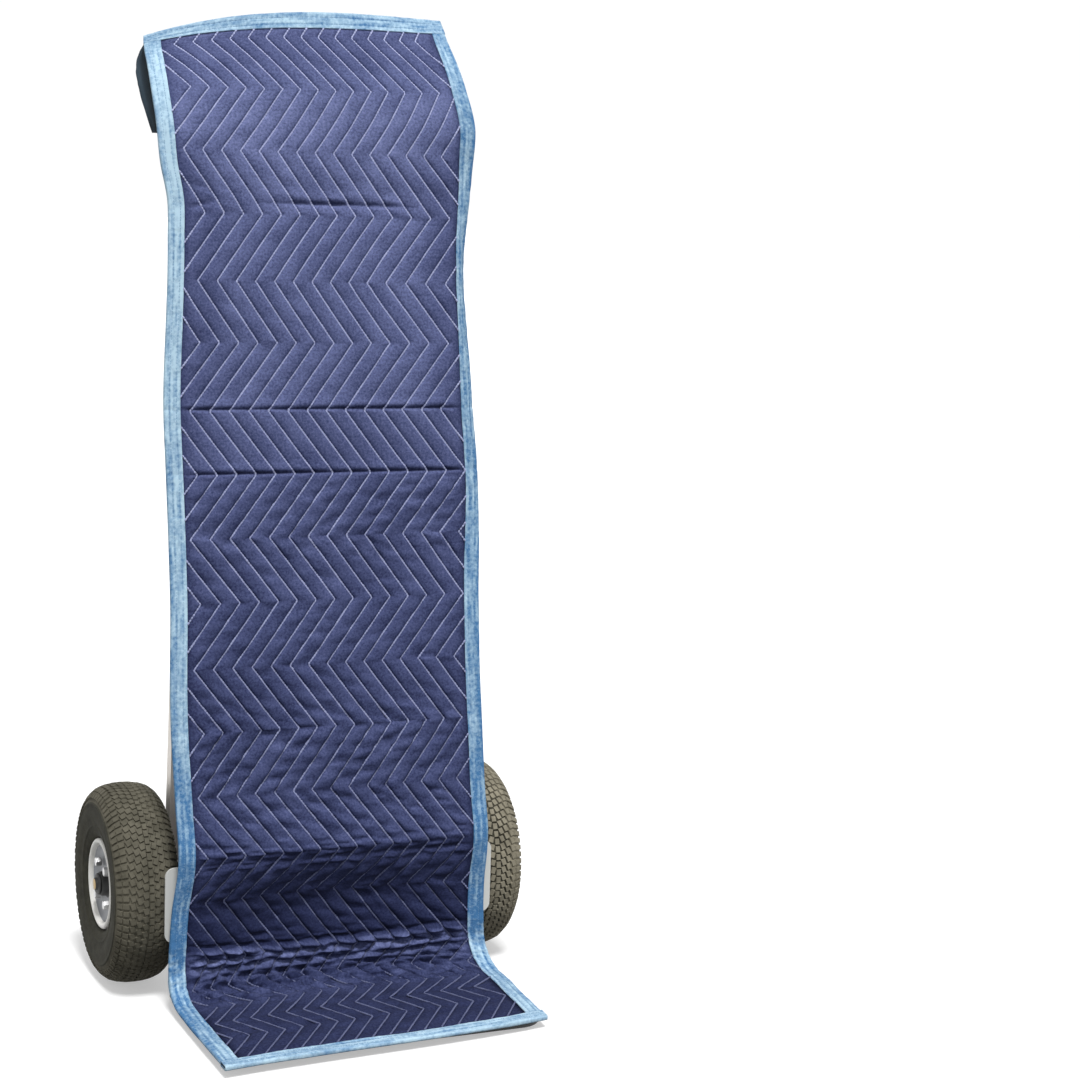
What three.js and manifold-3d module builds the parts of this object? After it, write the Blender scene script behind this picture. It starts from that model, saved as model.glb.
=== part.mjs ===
// Quilted cover with zigzag stitching and a bound edge, hung on the handle of a plain hand truck.
// Millimetres, +Z up. The truck stands on its toe plate and tyres at Z = 0 and faces -Y.
import * as THREE from 'three';
import { mergeVertices } from 'three/addons/utils/BufferGeometryUtils.js';
import Module from 'manifold-3d';

const wasm = await Module();
wasm.setup();

// Cover, flat sizes
const COVER_WIDTH = 425;
const ROW_PITCH = 83;
const STITCH_PITCH = 25.6;
const ZIGZAG_WIDTH = 62;
const ZIGZAG_PHASE = 1.5;
const ZIGZAG_DRIFT = 2;
const CREST_DROP = 2;
const PANEL_THICKNESS = 7;
const SEAM_DROP = 1.6;
const SEAM_ROWS = [7, 8];
const SEAM_REACH = 0.1;

// Binding tape
const TAPE_WIDTH = 20;
const TAPE_THICKNESS = 1.3;
const SEWN_GAP = 0.4;
const TAPE_TAB = 1;

// How the cover hangs
const COVER_OFFSET = -5;
const LEAN = THREE.MathUtils.degToRad(7.9);
const FOLD_ROW = 14;
const FOLD_HEIGHT = 199;
const TOP_ROW = 0.64;
const TOE_ROW = 19.09;
const TOE_ROW_PITCH = 89;

// Pocket behind the top
const POCKET_WALL = 2;
const POCKET_GAP = 0.6;

// Hand truck
const WHEEL_RADIUS = 133;
const TYRE_WIDTH = 86;
const WHEEL_X = 243;
const AXLE_Y = 160;
const RIM_RADIUS = 60;
const RIM_FACE = 36;
const RIM_DISH_DEPTH = 10;
const STUB_RADIUS = 8;
const AXLE_TUBE_RADIUS = 11;
const RAIL_X = 173;
const RAIL_WIDTH = 30;
const RAIL_DEPTH = 36;
const RAIL_WALL_RADIUS = 7;
const TOE_THICKNESS = 10;
const TOE_LIP = 4;
const TOE_UNDERCUT = 20;
const TOE_HALF_WIDTH = 213;
const TOE_FRONT = -206;
const TOE_BACK = 76;
const TOE_CORNER = 32;
const FOOT_HEIGHT = 30;
const CROSSBAR_HEIGHTS = [330, 560, 790, 1020];
const CROSSBAR_HEIGHT = 32;
const CROSSBAR_THICKNESS = 4;
const BRACE_SIZE = 22;
const BRACE_TOP_Z = 720;
const BRACKET_SHEET = 3;
const WING_FRONT = 22;
const WING_REACH = 228;
const WING_LOW = 88;
const WING_HIGH = 188;
const HANDLE_RADIUS = 14;
const HANDLE_Y = 204;
const HANDLE_Z = 1248;
const HANDLE_ARCH = 62;
const HANDLE_SWEEP = 6;
const FIT_GAP = 0.3;

// Side edges of the cover, by zigzag row counted from the top
const SIDE_LINES = [
  { row: 0.64, left: -208, right: 208 },
  { row: 1.3, left: -212, right: 208 },
  { row: 2, left: -215, right: 212 },
  { row: 2.6, left: -213, right: 219 },
  { row: 3.2, left: -210, right: 216 },
  { row: 3.8, left: -202, right: 210 },
  { row: 4.4, left: -203, right: 203 },
  { row: 5, left: -205, right: 200 },
  { row: 5.6, left: -208, right: 202 },
  { row: 6.9, left: -214, right: 208 },
  { row: 8, left: -213, right: 214 },
  { row: 9, left: -212, right: 215 },
  { row: 10, left: -212, right: 212 },
  { row: 11.2, left: -215, right: 211 },
  { row: 12, left: -215, right: 212 },
  { row: 13, left: -212, right: 214 },
  { row: 14, left: -210, right: 217 },
  { row: 15, left: -215, right: 216 },
  { row: 16, left: -218, right: 220 },
  { row: 16.6, left: -219, right: 228 },
  { row: 17, left: -219, right: 230 },
  { row: 18, left: -219, right: 225 },
  { row: 19.09, left: -218, right: 218 },
];

// Front face of the hanging cover: depth y and height z at the left side, middle and right side
const DRAPE = [
  { row: 0.64, yLeft: 221, yMid: 195, yRight: 236, zLeft: 1246, zMid: 1286, zRight: 1289 },
  { row: 1, yLeft: 210, yMid: 182, yRight: 206, zLeft: 1231, zMid: 1257, zRight: 1262 },
  { row: 1.5, yLeft: 181, yMid: 160, yRight: 168, zLeft: 1208, zMid: 1222, zRight: 1228 },
  { row: 2, yLeft: 155, yMid: 141, yRight: 141, zLeft: 1181, zMid: 1185, zRight: 1191 },
  { row: 2.6, yLeft: 133, yMid: 131, yRight: 125, zLeft: 1135, zMid: 1137, zRight: 1142 },
  { row: 3.2, ...onLean(3.2) },
  { row: 4, ...onLean(4) },
  { row: 6, ...onLean(6) },
  { row: 8, ...onLean(8) },
  { row: 10, ...onLean(10) },
  { row: 12, ...onLean(12) },
  { row: 13.3, ...onLean(13.3) },
  { row: 13.8, yLeft: 0, yMid: -2, yRight: 0, zLeft: 216, zMid: 216, zRight: 216 },
  { row: 14, yLeft: -1, yMid: -3, yRight: -1, zLeft: 200, zMid: 199, zRight: 198 },
  { row: 14.25, yLeft: 0, yMid: 2, yRight: 0, zLeft: 182, zMid: 182, zRight: 180 },
  { row: 15, yLeft: 6, yMid: 24, yRight: 6, zLeft: 132, zMid: 134, zRight: 130 },
  { row: 15.6, yLeft: 8, yMid: 30, yRight: 8, zLeft: 88, zMid: 88, zRight: 86 },
  { row: 16, yLeft: 8, yMid: 31, yRight: 8, zLeft: 56, zMid: 58, zRight: 54 },
  { row: 16.3, yLeft: 2, yMid: 26, yRight: -2, zLeft: 33, zMid: 35, zRight: 32 },
  { row: 16.6, yLeft: -22, yMid: 6, yRight: -20, zLeft: 21, zMid: 22, zRight: 21 },
  { row: 17, yLeft: -62, yMid: -36, yRight: -44, zLeft: 18, zMid: 18, zRight: 18 },
  { row: 18, yLeft: -148, yMid: -125, yRight: -106, zLeft: 18, zMid: 18, zRight: 18 },
  { row: 19.09, yLeft: -236, yMid: -222, yRight: -203, zLeft: 18, zMid: 18, zRight: 18 },
];

// Shallow swells and hollows of the hanging cloth
const SWELLS = [
  { row: 3.75, x: 40, rowReach: 0.3, xReach: 110, lift: -3 },
  { row: 5.2, x: -120, rowReach: 1.1, xReach: 120, lift: 3 },
  { row: 6.3, x: 110, rowReach: 0.9, xReach: 110, lift: 3 },
  { row: 9.4, x: 90, rowReach: 0.8, xReach: 130, lift: -4 },
  { row: 10.6, x: -100, rowReach: 1, xReach: 120, lift: 4 },
  { row: 12.4, x: 70, rowReach: 0.7, xReach: 120, lift: 4 },
  { row: 15.2, x: -60, rowReach: 0.4, xReach: 90, lift: -4 },
];

// Depth of the pocket behind the panel, and how square its sides are
const POCKET_SHAPE = [
  { row: 0.7, depth: 6, squareness: 4 },
  { row: 0.893, depth: 38, squareness: 6 },
  { row: 1, depth: 52, squareness: 8 },
  { row: 1.5, depth: 84, squareness: 12 },
  { row: 2, depth: 88, squareness: 10 },
  { row: 2.5, depth: 80, squareness: 6 },
  { row: 2.75, depth: 76, squareness: 4 },
];

// Centre line of each rail, from its foot to its top end behind the cover's bend
const RAIL_PATH = [
  { y: 46, z: TOE_THICKNESS + FOOT_HEIGHT + 2 * FIT_GAP },
  { y: 160, z: 1122 },
  { y: 167, z: 1144 },
  { y: 180, z: 1164 },
  { y: 196, z: 1180 },
  { y: 212, z: 1192 },
];

const CLOTH = new THREE.MeshStandardMaterial({ color: 0x3f4679, roughness: 0.9, metalness: 0 });
const TAPE = new THREE.MeshStandardMaterial({ color: 0x7fb2d9, roughness: 0.85, metalness: 0 });
const POCKET_CLOTH = new THREE.MeshStandardMaterial({ color: 0x24272e, roughness: 0.9, metalness: 0 });
const ALUMINIUM = new THREE.MeshStandardMaterial({ color: 0xbdbab3, roughness: 0.4, metalness: 0.9 });
const DARK_STEEL = new THREE.MeshStandardMaterial({ color: 0x55565a, roughness: 0.5, metalness: 0.7 });
const BLACK_STEEL = new THREE.MeshStandardMaterial({ color: 0x17181a, roughness: 0.5, metalness: 0.3 });
const RUBBER = new THREE.MeshStandardMaterial({ color: 0x4a483f, roughness: 0.9, metalness: 0 });
const RIM_PAINT = new THREE.MeshStandardMaterial({ color: 0xb9bbc0, roughness: 0.4, metalness: 0.4 });
const BRASS = new THREE.MeshStandardMaterial({ color: 0x6b5330, roughness: 0.4, metalness: 0.8 });

/** Front face of the straight, leaning part of the cover at one zigzag row. */
function onLean(row) {
  const up = (FOLD_ROW - row) * ROW_PITCH;
  const y = up * Math.sin(LEAN);
  const z = FOLD_HEIGHT + up * Math.cos(LEAN);
  return { yLeft: y, yMid: y, yRight: y, zLeft: z, zMid: z, zRight: z };
}

/** Value of one named column of a table at a row, on a smooth curve through the table's rows. */
function tableValue(table, column, row) {
  let i = 0;
  while (i < table.length - 2 && row > table[i + 1].row) i += 1;
  const slope = (a, b) => (table[b][column] - table[a][column]) / (table[b].row - table[a].row);
  const here = slope(i, i + 1);
  const span = table[i + 1].row - table[i].row;
  const startSlope = i > 0 ? (slope(i - 1, i) + here) / 2 : here;
  const endSlope = i < table.length - 2 ? (here + slope(i + 1, i + 2)) / 2 : here;
  const t = (row - table[i].row) / span;
  const rise = table[i + 1][column] - table[i][column];
  const ease = t * t * (3 - 2 * t);
  const startPull = t * (1 - t) * (1 - t) * span * startSlope;
  const endPull = t * t * (t - 1) * span * endSlope;
  return table[i][column] + ease * rise + startPull + endPull;
}

/** Small lift of the cloth's face from its swells and hollows. */
function swellAt(row, flatX) {
  let lift = 0;
  for (const swell of SWELLS) {
    const dr = (row - swell.row) / swell.rowReach;
    const dx = (flatX - swell.x) / swell.xReach;
    lift += swell.lift * Math.exp(-dr * dr - dx * dx);
  }
  return lift;
}

/** Point of the hanging cover's front face at a flat position. */
function facePoint(row, flatX) {
  const u = flatX / (COVER_WIDTH / 2);
  const left = tableValue(SIDE_LINES, 'left', row);
  const right = tableValue(SIDE_LINES, 'right', row);
  const across = (name) => {
    const mid = tableValue(DRAPE, `${name}Mid`, row);
    const atLeft = tableValue(DRAPE, `${name}Left`, row);
    const atRight = tableValue(DRAPE, `${name}Right`, row);
    const slant = u * (0.6 + 0.4 * u * u);
    return mid + ((atRight - atLeft) / 2) * slant + ((atRight + atLeft) / 2 - mid) * u * u;
  };
  return new THREE.Vector3(left + (right - left) * (u + 1) / 2, across('y'), across('z'));
}

/** Outward normal of the hanging cover's front face. */
function faceNormal(row, flatX) {
  const stepRow = 0.02;
  const stepX = 2;
  const down = facePoint(row + stepRow, flatX).sub(facePoint(row - stepRow, flatX));
  const across = facePoint(row, flatX + stepX).sub(facePoint(row, flatX - stepX));
  return down.cross(across).normalize();
}

/** Point of the hanging cover, at a height over its crests (below them where negative). */
function drape(row, flatX, over) {
  const onToe = THREE.MathUtils.smoothstep(row, 16, 16.6);
  const lift = over + swellAt(row, flatX) * (1 - onToe);
  return facePoint(row, flatX).addScaledVector(faceNormal(row, flatX), lift);
}

/** Closed geometry from points and triangles: shared points joined, faces pointing out. */
function closedGeometry(points, triangles) {
  const raw = new THREE.BufferGeometry();
  raw.setAttribute('position', new THREE.Float32BufferAttribute(points.flatMap((p) => p.toArray()), 3));
  raw.setIndex(triangles.flat());
  const merged = mergeVertices(raw, 1e-3);
  const index = Array.from(merged.index.array);
  const position = merged.attributes.position;
  const corner = (i) => new THREE.Vector3().fromBufferAttribute(position, i);
  const kept = [];
  let volume = 0;
  for (let i = 0; i < index.length; i += 3) {
    const [a, b, c] = index.slice(i, i + 3);
    if (a === b || b === c || c === a) continue;
    kept.push([a, b, c]);
    volume += corner(a).dot(corner(b).cross(corner(c)));
  }
  merged.setIndex((volume < 0 ? kept.map(([a, b, c]) => [a, c, b]) : kept).flat());
  return merged;
}

/** Solid between two grids of points with the same rows and columns. */
function solidBetween(front, back) {
  const rows = front.length;
  const columns = front[0].length;
  const points = [...front.flat(), ...back.flat()];
  const triangles = [];
  const quad = (a, b, c, d) => triangles.push([a, b, c], [a, c, d]);
  const at = (r, c) => r * columns + c;
  const behind = rows * columns;
  for (let r = 0; r < rows - 1; r += 1) {
    for (let c = 0; c < columns - 1; c += 1) {
      const around = [at(r, c), at(r + 1, c), at(r + 1, c + 1), at(r, c + 1)];
      if (c === columns - 2) around.push(around.shift());
      quad(...around);
      quad(...around.map((i) => behind + i).reverse());
    }
    const last = columns - 1;
    quad(at(r, 0), behind + at(r, 0), behind + at(r + 1, 0), at(r + 1, 0));
    quad(at(r + 1, last), behind + at(r + 1, last), behind + at(r, last), at(r, last));
  }
  for (let c = 0; c < columns - 1; c += 1) {
    const last = rows - 1;
    quad(at(0, c + 1), behind + at(0, c + 1), behind + at(0, c), at(0, c));
    quad(at(last, c), behind + at(last, c), behind + at(last, c + 1), at(last, c + 1));
  }
  return closedGeometry(points, triangles);
}

/** Solid through rings of points, each ring a closed outline like the flat section given. */
function loft(rings, section) {
  const count = section.length;
  const triangles = [];
  for (let r = 0; r < rings.length - 1; r += 1) {
    for (let i = 0; i < count; i += 1) {
      const j = (i + 1) % count;
      const a = r * count + i;
      const b = r * count + j;
      if (section[i][0] > section[j][0]) triangles.push([a, b, a + count], [b, b + count, a + count]);
      else triangles.push([a, b, b + count], [a, b + count, a + count]);
    }
  }
  const outline = section.map(([x, y]) => new THREE.Vector2(x, y));
  const cap = THREE.ShapeUtils.triangulateShape(outline, []);
  const lastRing = (rings.length - 1) * count;
  const turned = THREE.ShapeUtils.isClockWise(outline);
  for (const [a, b, c] of cap) {
    triangles.push(turned ? [a, b, c] : [a, c, b]);
    triangles.push((turned ? [a, c, b] : [a, b, c]).map((i) => i + lastRing));
  }
  return closedGeometry(rings.flat(), triangles);
}

/** Named mesh at the group's own frame. */
function piece(name, geometry, material) {
  const mesh = new THREE.Mesh(geometry, material);
  mesh.name = name;
  return mesh;
}

/** Geometry of a solid after a boolean step. */
function toSolid(geometry) {
  const bare = geometry.clone();
  bare.deleteAttribute('normal');
  bare.deleteAttribute('uv');
  const merged = mergeVertices(bare, 1e-4);
  const vertProperties = new Float32Array(merged.attributes.position.array);
  const triVerts = new Uint32Array(merged.index.array);
  return new wasm.Manifold(new wasm.Mesh({ numProp: 3, vertProperties, triVerts }));
}

/** BufferGeometry of a manifold solid. */
function fromSolid(solid) {
  const mesh = solid.getMesh();
  const geometry = new THREE.BufferGeometry();
  geometry.setAttribute('position', new THREE.Float32BufferAttribute(mesh.vertProperties, 3));
  geometry.setIndex(Array.from(mesh.triVerts));
  return geometry;
}

/** Distance along the cloth, in rows, for a length measured near the top or on the toe. */
const topRows = (length) => length / ROW_PITCH;
const toeRows = (length) => length / TOE_ROW_PITCH;

/** Sideways place of the zigzag at a row: -1 at odd rows, +1 at even rows, straight between. */
function zigzagSide(row) {
  const phase = ((row % 2) + 2) % 2;
  return phase < 1 ? 1 - 2 * phase : 2 * phase - 3;
}

/** Rows of points down the panel: every zigzag turn and half turn, with more at seams and bends. */
function panelRows() {
  const rows = [TOP_ROW, TOP_ROW + topRows(TAPE_WIDTH + 1)];
  for (let row = 1; row <= 18.5; row += 0.5) rows.push(row);
  for (const seam of SEAM_ROWS) rows.push(seam - SEAM_REACH, seam + SEAM_REACH);
  rows.push(2.75, 3.75, 13.8, 14.2, 15.75, 16.2, 16.35, 16.7);
  rows.push(TOE_ROW - toeRows(TAPE_WIDTH + 1), TOE_ROW);
  return rows.sort((a, b) => a - b);
}

/** Quilted panel: puffed channels between zigzag stitch lines, pressed thin under the binding. */
function quiltedPanel() {
  const edge = COVER_WIDTH / 2;
  const inner = edge - TAPE_WIDTH - 1;
  const snap = 3;
  const topHem = TOP_ROW + topRows(TAPE_WIDTH + 1);
  const toeHem = TOE_ROW - toeRows(TAPE_WIDTH + 1);
  const half = STITCH_PITCH / 2;
  const reach = Math.ceil((inner + ZIGZAG_WIDTH / 2 + ZIGZAG_DRIFT * TOE_ROW) / half) + 1;
  const front = [];
  const back = [];
  for (const row of panelRows()) {
    const underTape = row <= topHem || row >= toeHem;
    const onSeam = SEAM_ROWS.includes(row);
    const stitchRow = THREE.MathUtils.clamp(row, topHem, toeHem);
    const shift = ZIGZAG_PHASE - ZIGZAG_DRIFT * stitchRow + zigzagSide(stitchRow) * ZIGZAG_WIDTH / 2;
    const frontRow = [drape(row, -edge, -CREST_DROP)];
    const backRow = [drape(row, -edge, CREST_DROP - PANEL_THICKNESS)];
    for (let column = -reach; column <= reach; column += 1) {
      const free = column * half + shift;
      const held = Math.abs(free) > inner - snap;
      const flatX = held ? Math.sign(free) * inner : free;
      const onStitch = column % 2 === 0;
      let drop = onStitch || held || underTape ? CREST_DROP : 0;
      if (onSeam && !held && !onStitch) drop = SEAM_DROP;
      frontRow.push(drape(row, flatX, -drop));
      backRow.push(drape(row, flatX, drop - PANEL_THICKNESS));
    }
    frontRow.push(drape(row, edge, -CREST_DROP));
    backRow.push(drape(row, edge, CREST_DROP - PANEL_THICKNESS));
    front.push(frontRow);
    back.push(backRow);
  }
  return solidBetween(front, back);
}

/** Section of the folded tape: distance in from the cloth's edge, and height over its crests. */
function tapeSection() {
  const faceTop = -CREST_DROP + SEWN_GAP + TAPE_THICKNESS;
  const faceLow = -CREST_DROP + SEWN_GAP;
  const rearLow = CREST_DROP - PANEL_THICKNESS - SEWN_GAP;
  const rearTop = rearLow - TAPE_THICKNESS;
  const out = -SEWN_GAP - TAPE_THICKNESS;
  return [
    [TAPE_WIDTH, faceLow],
    [TAPE_WIDTH, faceTop],
    [0, faceTop],
    [out, faceTop - TAPE_THICKNESS],
    [out, rearTop + TAPE_THICKNESS],
    [0, rearTop],
    [TAPE_WIDTH, rearTop],
    [TAPE_WIDTH, rearLow],
    [-SEWN_GAP, rearLow],
    [-SEWN_GAP, faceLow],
  ];
}

/** Tape folded over one long side of the panel, butting under the tapes across the ends. */
function sideTape(side) {
  const section = tapeSection();
  const first = TOP_ROW + topRows(TAPE_WIDTH + SEWN_GAP);
  const last = TOE_ROW - toeRows(TAPE_WIDTH + SEWN_GAP);
  const rows = [first, ...panelRows().filter((row) => row > first && row < last), last];
  const edge = COVER_WIDTH / 2;
  const rings = rows.map((row) => section.map(([inset, over]) => drape(row, side * (edge - inset), over)));
  return loft(rings, section);
}

/** Tape folded over the top edge or the toe edge, from one side of the cover to the other. */
function endTape(edgeRow, rowsPerLength, tabs) {
  const section = tapeSection();
  const steps = 32;
  const outside = SEWN_GAP + TAPE_THICKNESS;
  const left = -COVER_WIDTH / 2 - outside - tabs.left;
  const right = COVER_WIDTH / 2 + outside + tabs.right;
  const rings = [];
  for (let i = 0; i <= steps; i += 1) {
    const flatX = THREE.MathUtils.lerp(left, right, i / steps);
    rings.push(section.map(([inset, over]) => drape(edgeRow + rowsPerLength(inset), flatX, over)));
  }
  return loft(rings, section);
}

/** Pocket of black cloth behind the top of the panel: sewn at the top and sides, open below. */
function topPocket() {
  const columns = 24;
  const start = CREST_DROP - PANEL_THICKNESS - SEWN_GAP - TAPE_THICKNESS - POCKET_GAP;
  const edge = COVER_WIDTH / 2;
  const outer = [];
  const inside = [];
  for (const { row, depth, squareness } of POCKET_SHAPE) {
    const outerRow = [];
    const insideRow = [];
    for (let i = 0; i <= columns; i += 1) {
      const angle = (1 - i / columns) * Math.PI;
      const across = Math.sign(Math.cos(angle)) * Math.abs(Math.cos(angle)) ** (2 / squareness);
      const bulge = i % columns === 0 ? 0 : Math.sin(angle) ** (2 / squareness);
      const rear = drape(row, across * edge, start);
      const inner = drape(row, across * (edge - POCKET_WALL), start);
      outerRow.push(rear.add(new THREE.Vector3(0, bulge * (depth + POCKET_WALL), 0)));
      insideRow.push(inner.add(new THREE.Vector3(0, bulge * depth, 0)));
    }
    outer.push(outerRow);
    inside.push(insideRow);
  }
  return solidBetween(inside, outer);
}

/** Outline of a rectangular tube with rounded corners. */
function roundedSection(width, depth, radius) {
  const section = [];
  const arcSteps = 3;
  const corners = [[1, 1, 0], [-1, 1, 1], [-1, -1, 2], [1, -1, 3]];
  for (const [sx, sy, quarter] of corners) {
    for (let i = 0; i <= arcSteps; i += 1) {
      const angle = (quarter + i / arcSteps) * Math.PI / 2;
      const x = sx * (width / 2 - radius) + radius * Math.cos(angle);
      const y = sy * (depth / 2 - radius) + radius * Math.sin(angle);
      section.push([x, y]);
    }
  }
  return section;
}

/** One rail: a rounded rectangular tube from its foot up to the bend behind the cover's top. */
function rail(side) {
  const section = roundedSection(RAIL_WIDTH, RAIL_DEPTH, RAIL_WALL_RADIUS);
  const path = RAIL_PATH.map(({ y, z }) => new THREE.Vector3(0, y, z));
  const rings = path.map((point, i) => {
    const before = path[Math.max(i - 1, 0)];
    const after = path[Math.min(i + 1, path.length - 1)];
    const along = after.clone().sub(before).normalize();
    const rearward = i === 0 ? new THREE.Vector3(0, 1, 0) : new THREE.Vector3(0, along.z, -along.y);
    return section.map(([x, depth]) => {
      const place = point.clone().addScaledVector(rearward, depth);
      place.x = side * RAIL_X + x;
      return place;
    });
  });
  return loft(rings, section);
}

/** Depth of the rails' centre line at a height on their straight part. */
function railY(z) {
  const [low, high] = RAIL_PATH;
  return THREE.MathUtils.mapLinear(z, low.z, high.z, low.y, high.y);
}

/** Round bar between the rails' tops, arched like the top of the cover. */
function handleBar() {
  const sides = 12;
  const steps = 14;
  const section = Array.from({ length: sides }, (_, i) => {
    const angle = (i / sides) * 2 * Math.PI;
    return [HANDLE_RADIUS * Math.cos(angle), HANDLE_RADIUS * Math.sin(angle)];
  });
  const end = RAIL_X - RAIL_WIDTH / 2 - FIT_GAP;
  const rings = [];
  for (let i = 0; i <= steps; i += 1) {
    const x = THREE.MathUtils.lerp(-end, end, i / steps);
    const toEnd = Math.abs(x / end);
    const midY = HANDLE_Y + HANDLE_SWEEP * toEnd ** 2;
    const midZ = HANDLE_Z - HANDLE_ARCH * toEnd ** 3;
    rings.push(section.map(([y, z]) => new THREE.Vector3(x, midY + y, midZ + z)));
  }
  return loft(rings, section);
}

/** Flat bar between the rails at one height, square to their lean. */
function crossBar(z) {
  const length = 2 * (RAIL_X - RAIL_WIDTH / 2 - FIT_GAP);
  const bar = new THREE.BoxGeometry(length, CROSSBAR_THICKNESS, CROSSBAR_HEIGHT);
  const [low, high] = RAIL_PATH;
  bar.rotateX(-Math.atan2(high.y - low.y, high.z - low.z));
  bar.translate(0, railY(z), z);
  return bar;
}

/** Straight brace from the axle tube up to the back of a rail. */
function rearBrace(side) {
  const [low, high] = RAIL_PATH;
  const lean = Math.atan2(high.y - low.y, high.z - low.z);
  const backOfRail = (z) => railY(z) + (RAIL_DEPTH / 2 + FIT_GAP) / Math.cos(lean);
  const footZ = WHEEL_RADIUS + AXLE_TUBE_RADIUS + FIT_GAP;
  const rise = 70;
  const outline = new THREE.Shape([
    new THREE.Vector2(AXLE_Y - BRACE_SIZE / 2, footZ),
    new THREE.Vector2(AXLE_Y + BRACE_SIZE / 2, footZ),
    new THREE.Vector2(backOfRail(BRACE_TOP_Z), BRACE_TOP_Z),
    new THREE.Vector2(backOfRail(BRACE_TOP_Z - rise), BRACE_TOP_Z - rise),
  ]);
  const brace = new THREE.ExtrudeGeometry(outline, { depth: BRACE_SIZE, bevelEnabled: false });
  const x = side * (RAIL_X + (RAIL_WIDTH - BRACE_SIZE) / 2) - BRACE_SIZE / 2;
  const turn = new THREE.Matrix4().makeBasis(
    new THREE.Vector3(0, 1, 0),
    new THREE.Vector3(0, 0, 1),
    new THREE.Vector3(1, 0, 0),
  );
  return brace.applyMatrix4(turn).translate(x, 0, 0);
}

/** Rectangle with rounded corners, seen from above. */
function roundedOutline(xLow, xHigh, yLow, yHigh, radius) {
  const outline = new THREE.Shape();
  outline.moveTo(xLow + radius, yLow);
  outline.lineTo(xHigh - radius, yLow);
  outline.absarc(xHigh - radius, yLow + radius, radius, -Math.PI / 2, 0, false);
  outline.lineTo(xHigh, yHigh - radius);
  outline.absarc(xHigh - radius, yHigh - radius, radius, 0, Math.PI / 2, false);
  outline.lineTo(xLow + radius, yHigh);
  outline.absarc(xLow + radius, yHigh - radius, radius, Math.PI / 2, Math.PI, false);
  outline.lineTo(xLow, yLow + radius);
  outline.absarc(xLow + radius, yLow + radius, radius, Math.PI, 1.5 * Math.PI, false);
  return outline;
}

/** Slab with rounded corners, between two heights. */
function slab(outline, zLow, zHigh) {
  const options = { depth: zHigh - zLow, bevelEnabled: false, curveSegments: 5 };
  return new THREE.ExtrudeGeometry(outline, options).translate(0, 0, zLow);
}

/** Toe plate: a thin lip all round over a base that stands flat on the floor. */
function toePlate() {
  const half = TOE_HALF_WIDTH;
  const lip = roundedOutline(-half, half, TOE_FRONT, TOE_BACK, TOE_CORNER);
  const inset = TOE_UNDERCUT;
  const base = roundedOutline(-half + inset, half - inset, TOE_FRONT + inset, TOE_BACK - inset, TOE_CORNER);
  const top = toSolid(slab(lip, TOE_THICKNESS - TOE_LIP, TOE_THICKNESS));
  return fromSolid(top.add(toSolid(slab(base, 0, TOE_THICKNESS - 1))));
}

/** Socket block that carries a rail on the toe plate. */
function railFoot(side) {
  const wide = RAIL_WIDTH / 2 + 3;
  const deep = RAIL_DEPTH / 2;
  const y = RAIL_PATH[0].y;
  const outline = roundedOutline(side * RAIL_X - wide, side * RAIL_X + wide, y - deep, y + deep + 8, 6);
  const foot = new THREE.ExtrudeGeometry(outline, { depth: FOOT_HEIGHT, bevelEnabled: false, curveSegments: 3 });
  return foot.translate(0, 0, TOE_THICKNESS + FIT_GAP);
}

/** Axle bracket: a web beside the rail, with a wing turned out in front of the tyre. */
function axleBracket(side) {
  const webNear = RAIL_X + RAIL_WIDTH / 2 + FIT_GAP;
  const webFar = webNear + BRACKET_SHEET;
  const wingOutline = roundedOutline(webNear, WING_REACH, WING_LOW, WING_HIGH, 12);
  const sheet = { depth: BRACKET_SHEET, bevelEnabled: false, curveSegments: 4 };
  const wing = new THREE.ExtrudeGeometry(wingOutline, sheet);
  wing.rotateX(Math.PI / 2).translate(0, WING_FRONT + BRACKET_SHEET, 0);
  const webReach = AXLE_Y + 26;
  const webOutline = roundedOutline(WING_FRONT, webReach, WING_LOW + 14, WING_HIGH - 14, 12);
  const web = new THREE.ExtrudeGeometry(webOutline, { ...sheet, depth: webFar - webNear });
  const turn = new THREE.Matrix4().makeBasis(
    new THREE.Vector3(0, 1, 0),
    new THREE.Vector3(0, 0, 1),
    new THREE.Vector3(1, 0, 0),
  );
  web.applyMatrix4(turn).translate(webNear, 0, 0);
  const joined = fromSolid(toSolid(wing).add(toSolid(web)));
  if (side > 0) return joined;
  const position = joined.attributes.position;
  for (let i = 0; i < position.count; i += 1) position.setX(i, -position.getX(i));
  const index = joined.index.array;
  for (let i = 0; i < index.length; i += 3) [index[i], index[i + 1]] = [index[i + 1], index[i]];
  return joined;
}

/** Lathe about the wheels' axle, the profile given as radius and distance outward along X. */
function onAxle(profile, side, segments) {
  const points = profile.map(([radius, out]) => new THREE.Vector2(radius, out));
  const turned = new THREE.LatheGeometry(points, segments);
  turned.rotateY(Math.PI / segments);
  const bare = turned.clone();
  bare.deleteAttribute('normal');
  bare.deleteAttribute('uv');
  const toAxle = new THREE.Matrix4().makeRotationZ(side > 0 ? -Math.PI / 2 : Math.PI / 2);
  bare.applyMatrix4(toAxle);
  bare.translate(side * WHEEL_X, AXLE_Y, WHEEL_RADIUS);
  const position = bare.attributes.position;
  const corners = Array.from({ length: position.count }, (_, i) => new THREE.Vector3().fromBufferAttribute(position, i));
  const index = Array.from(bare.index.array);
  const triangles = [];
  for (let i = 0; i < index.length; i += 3) triangles.push(index.slice(i, i + 3));
  return closedGeometry(corners, triangles);
}

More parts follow.
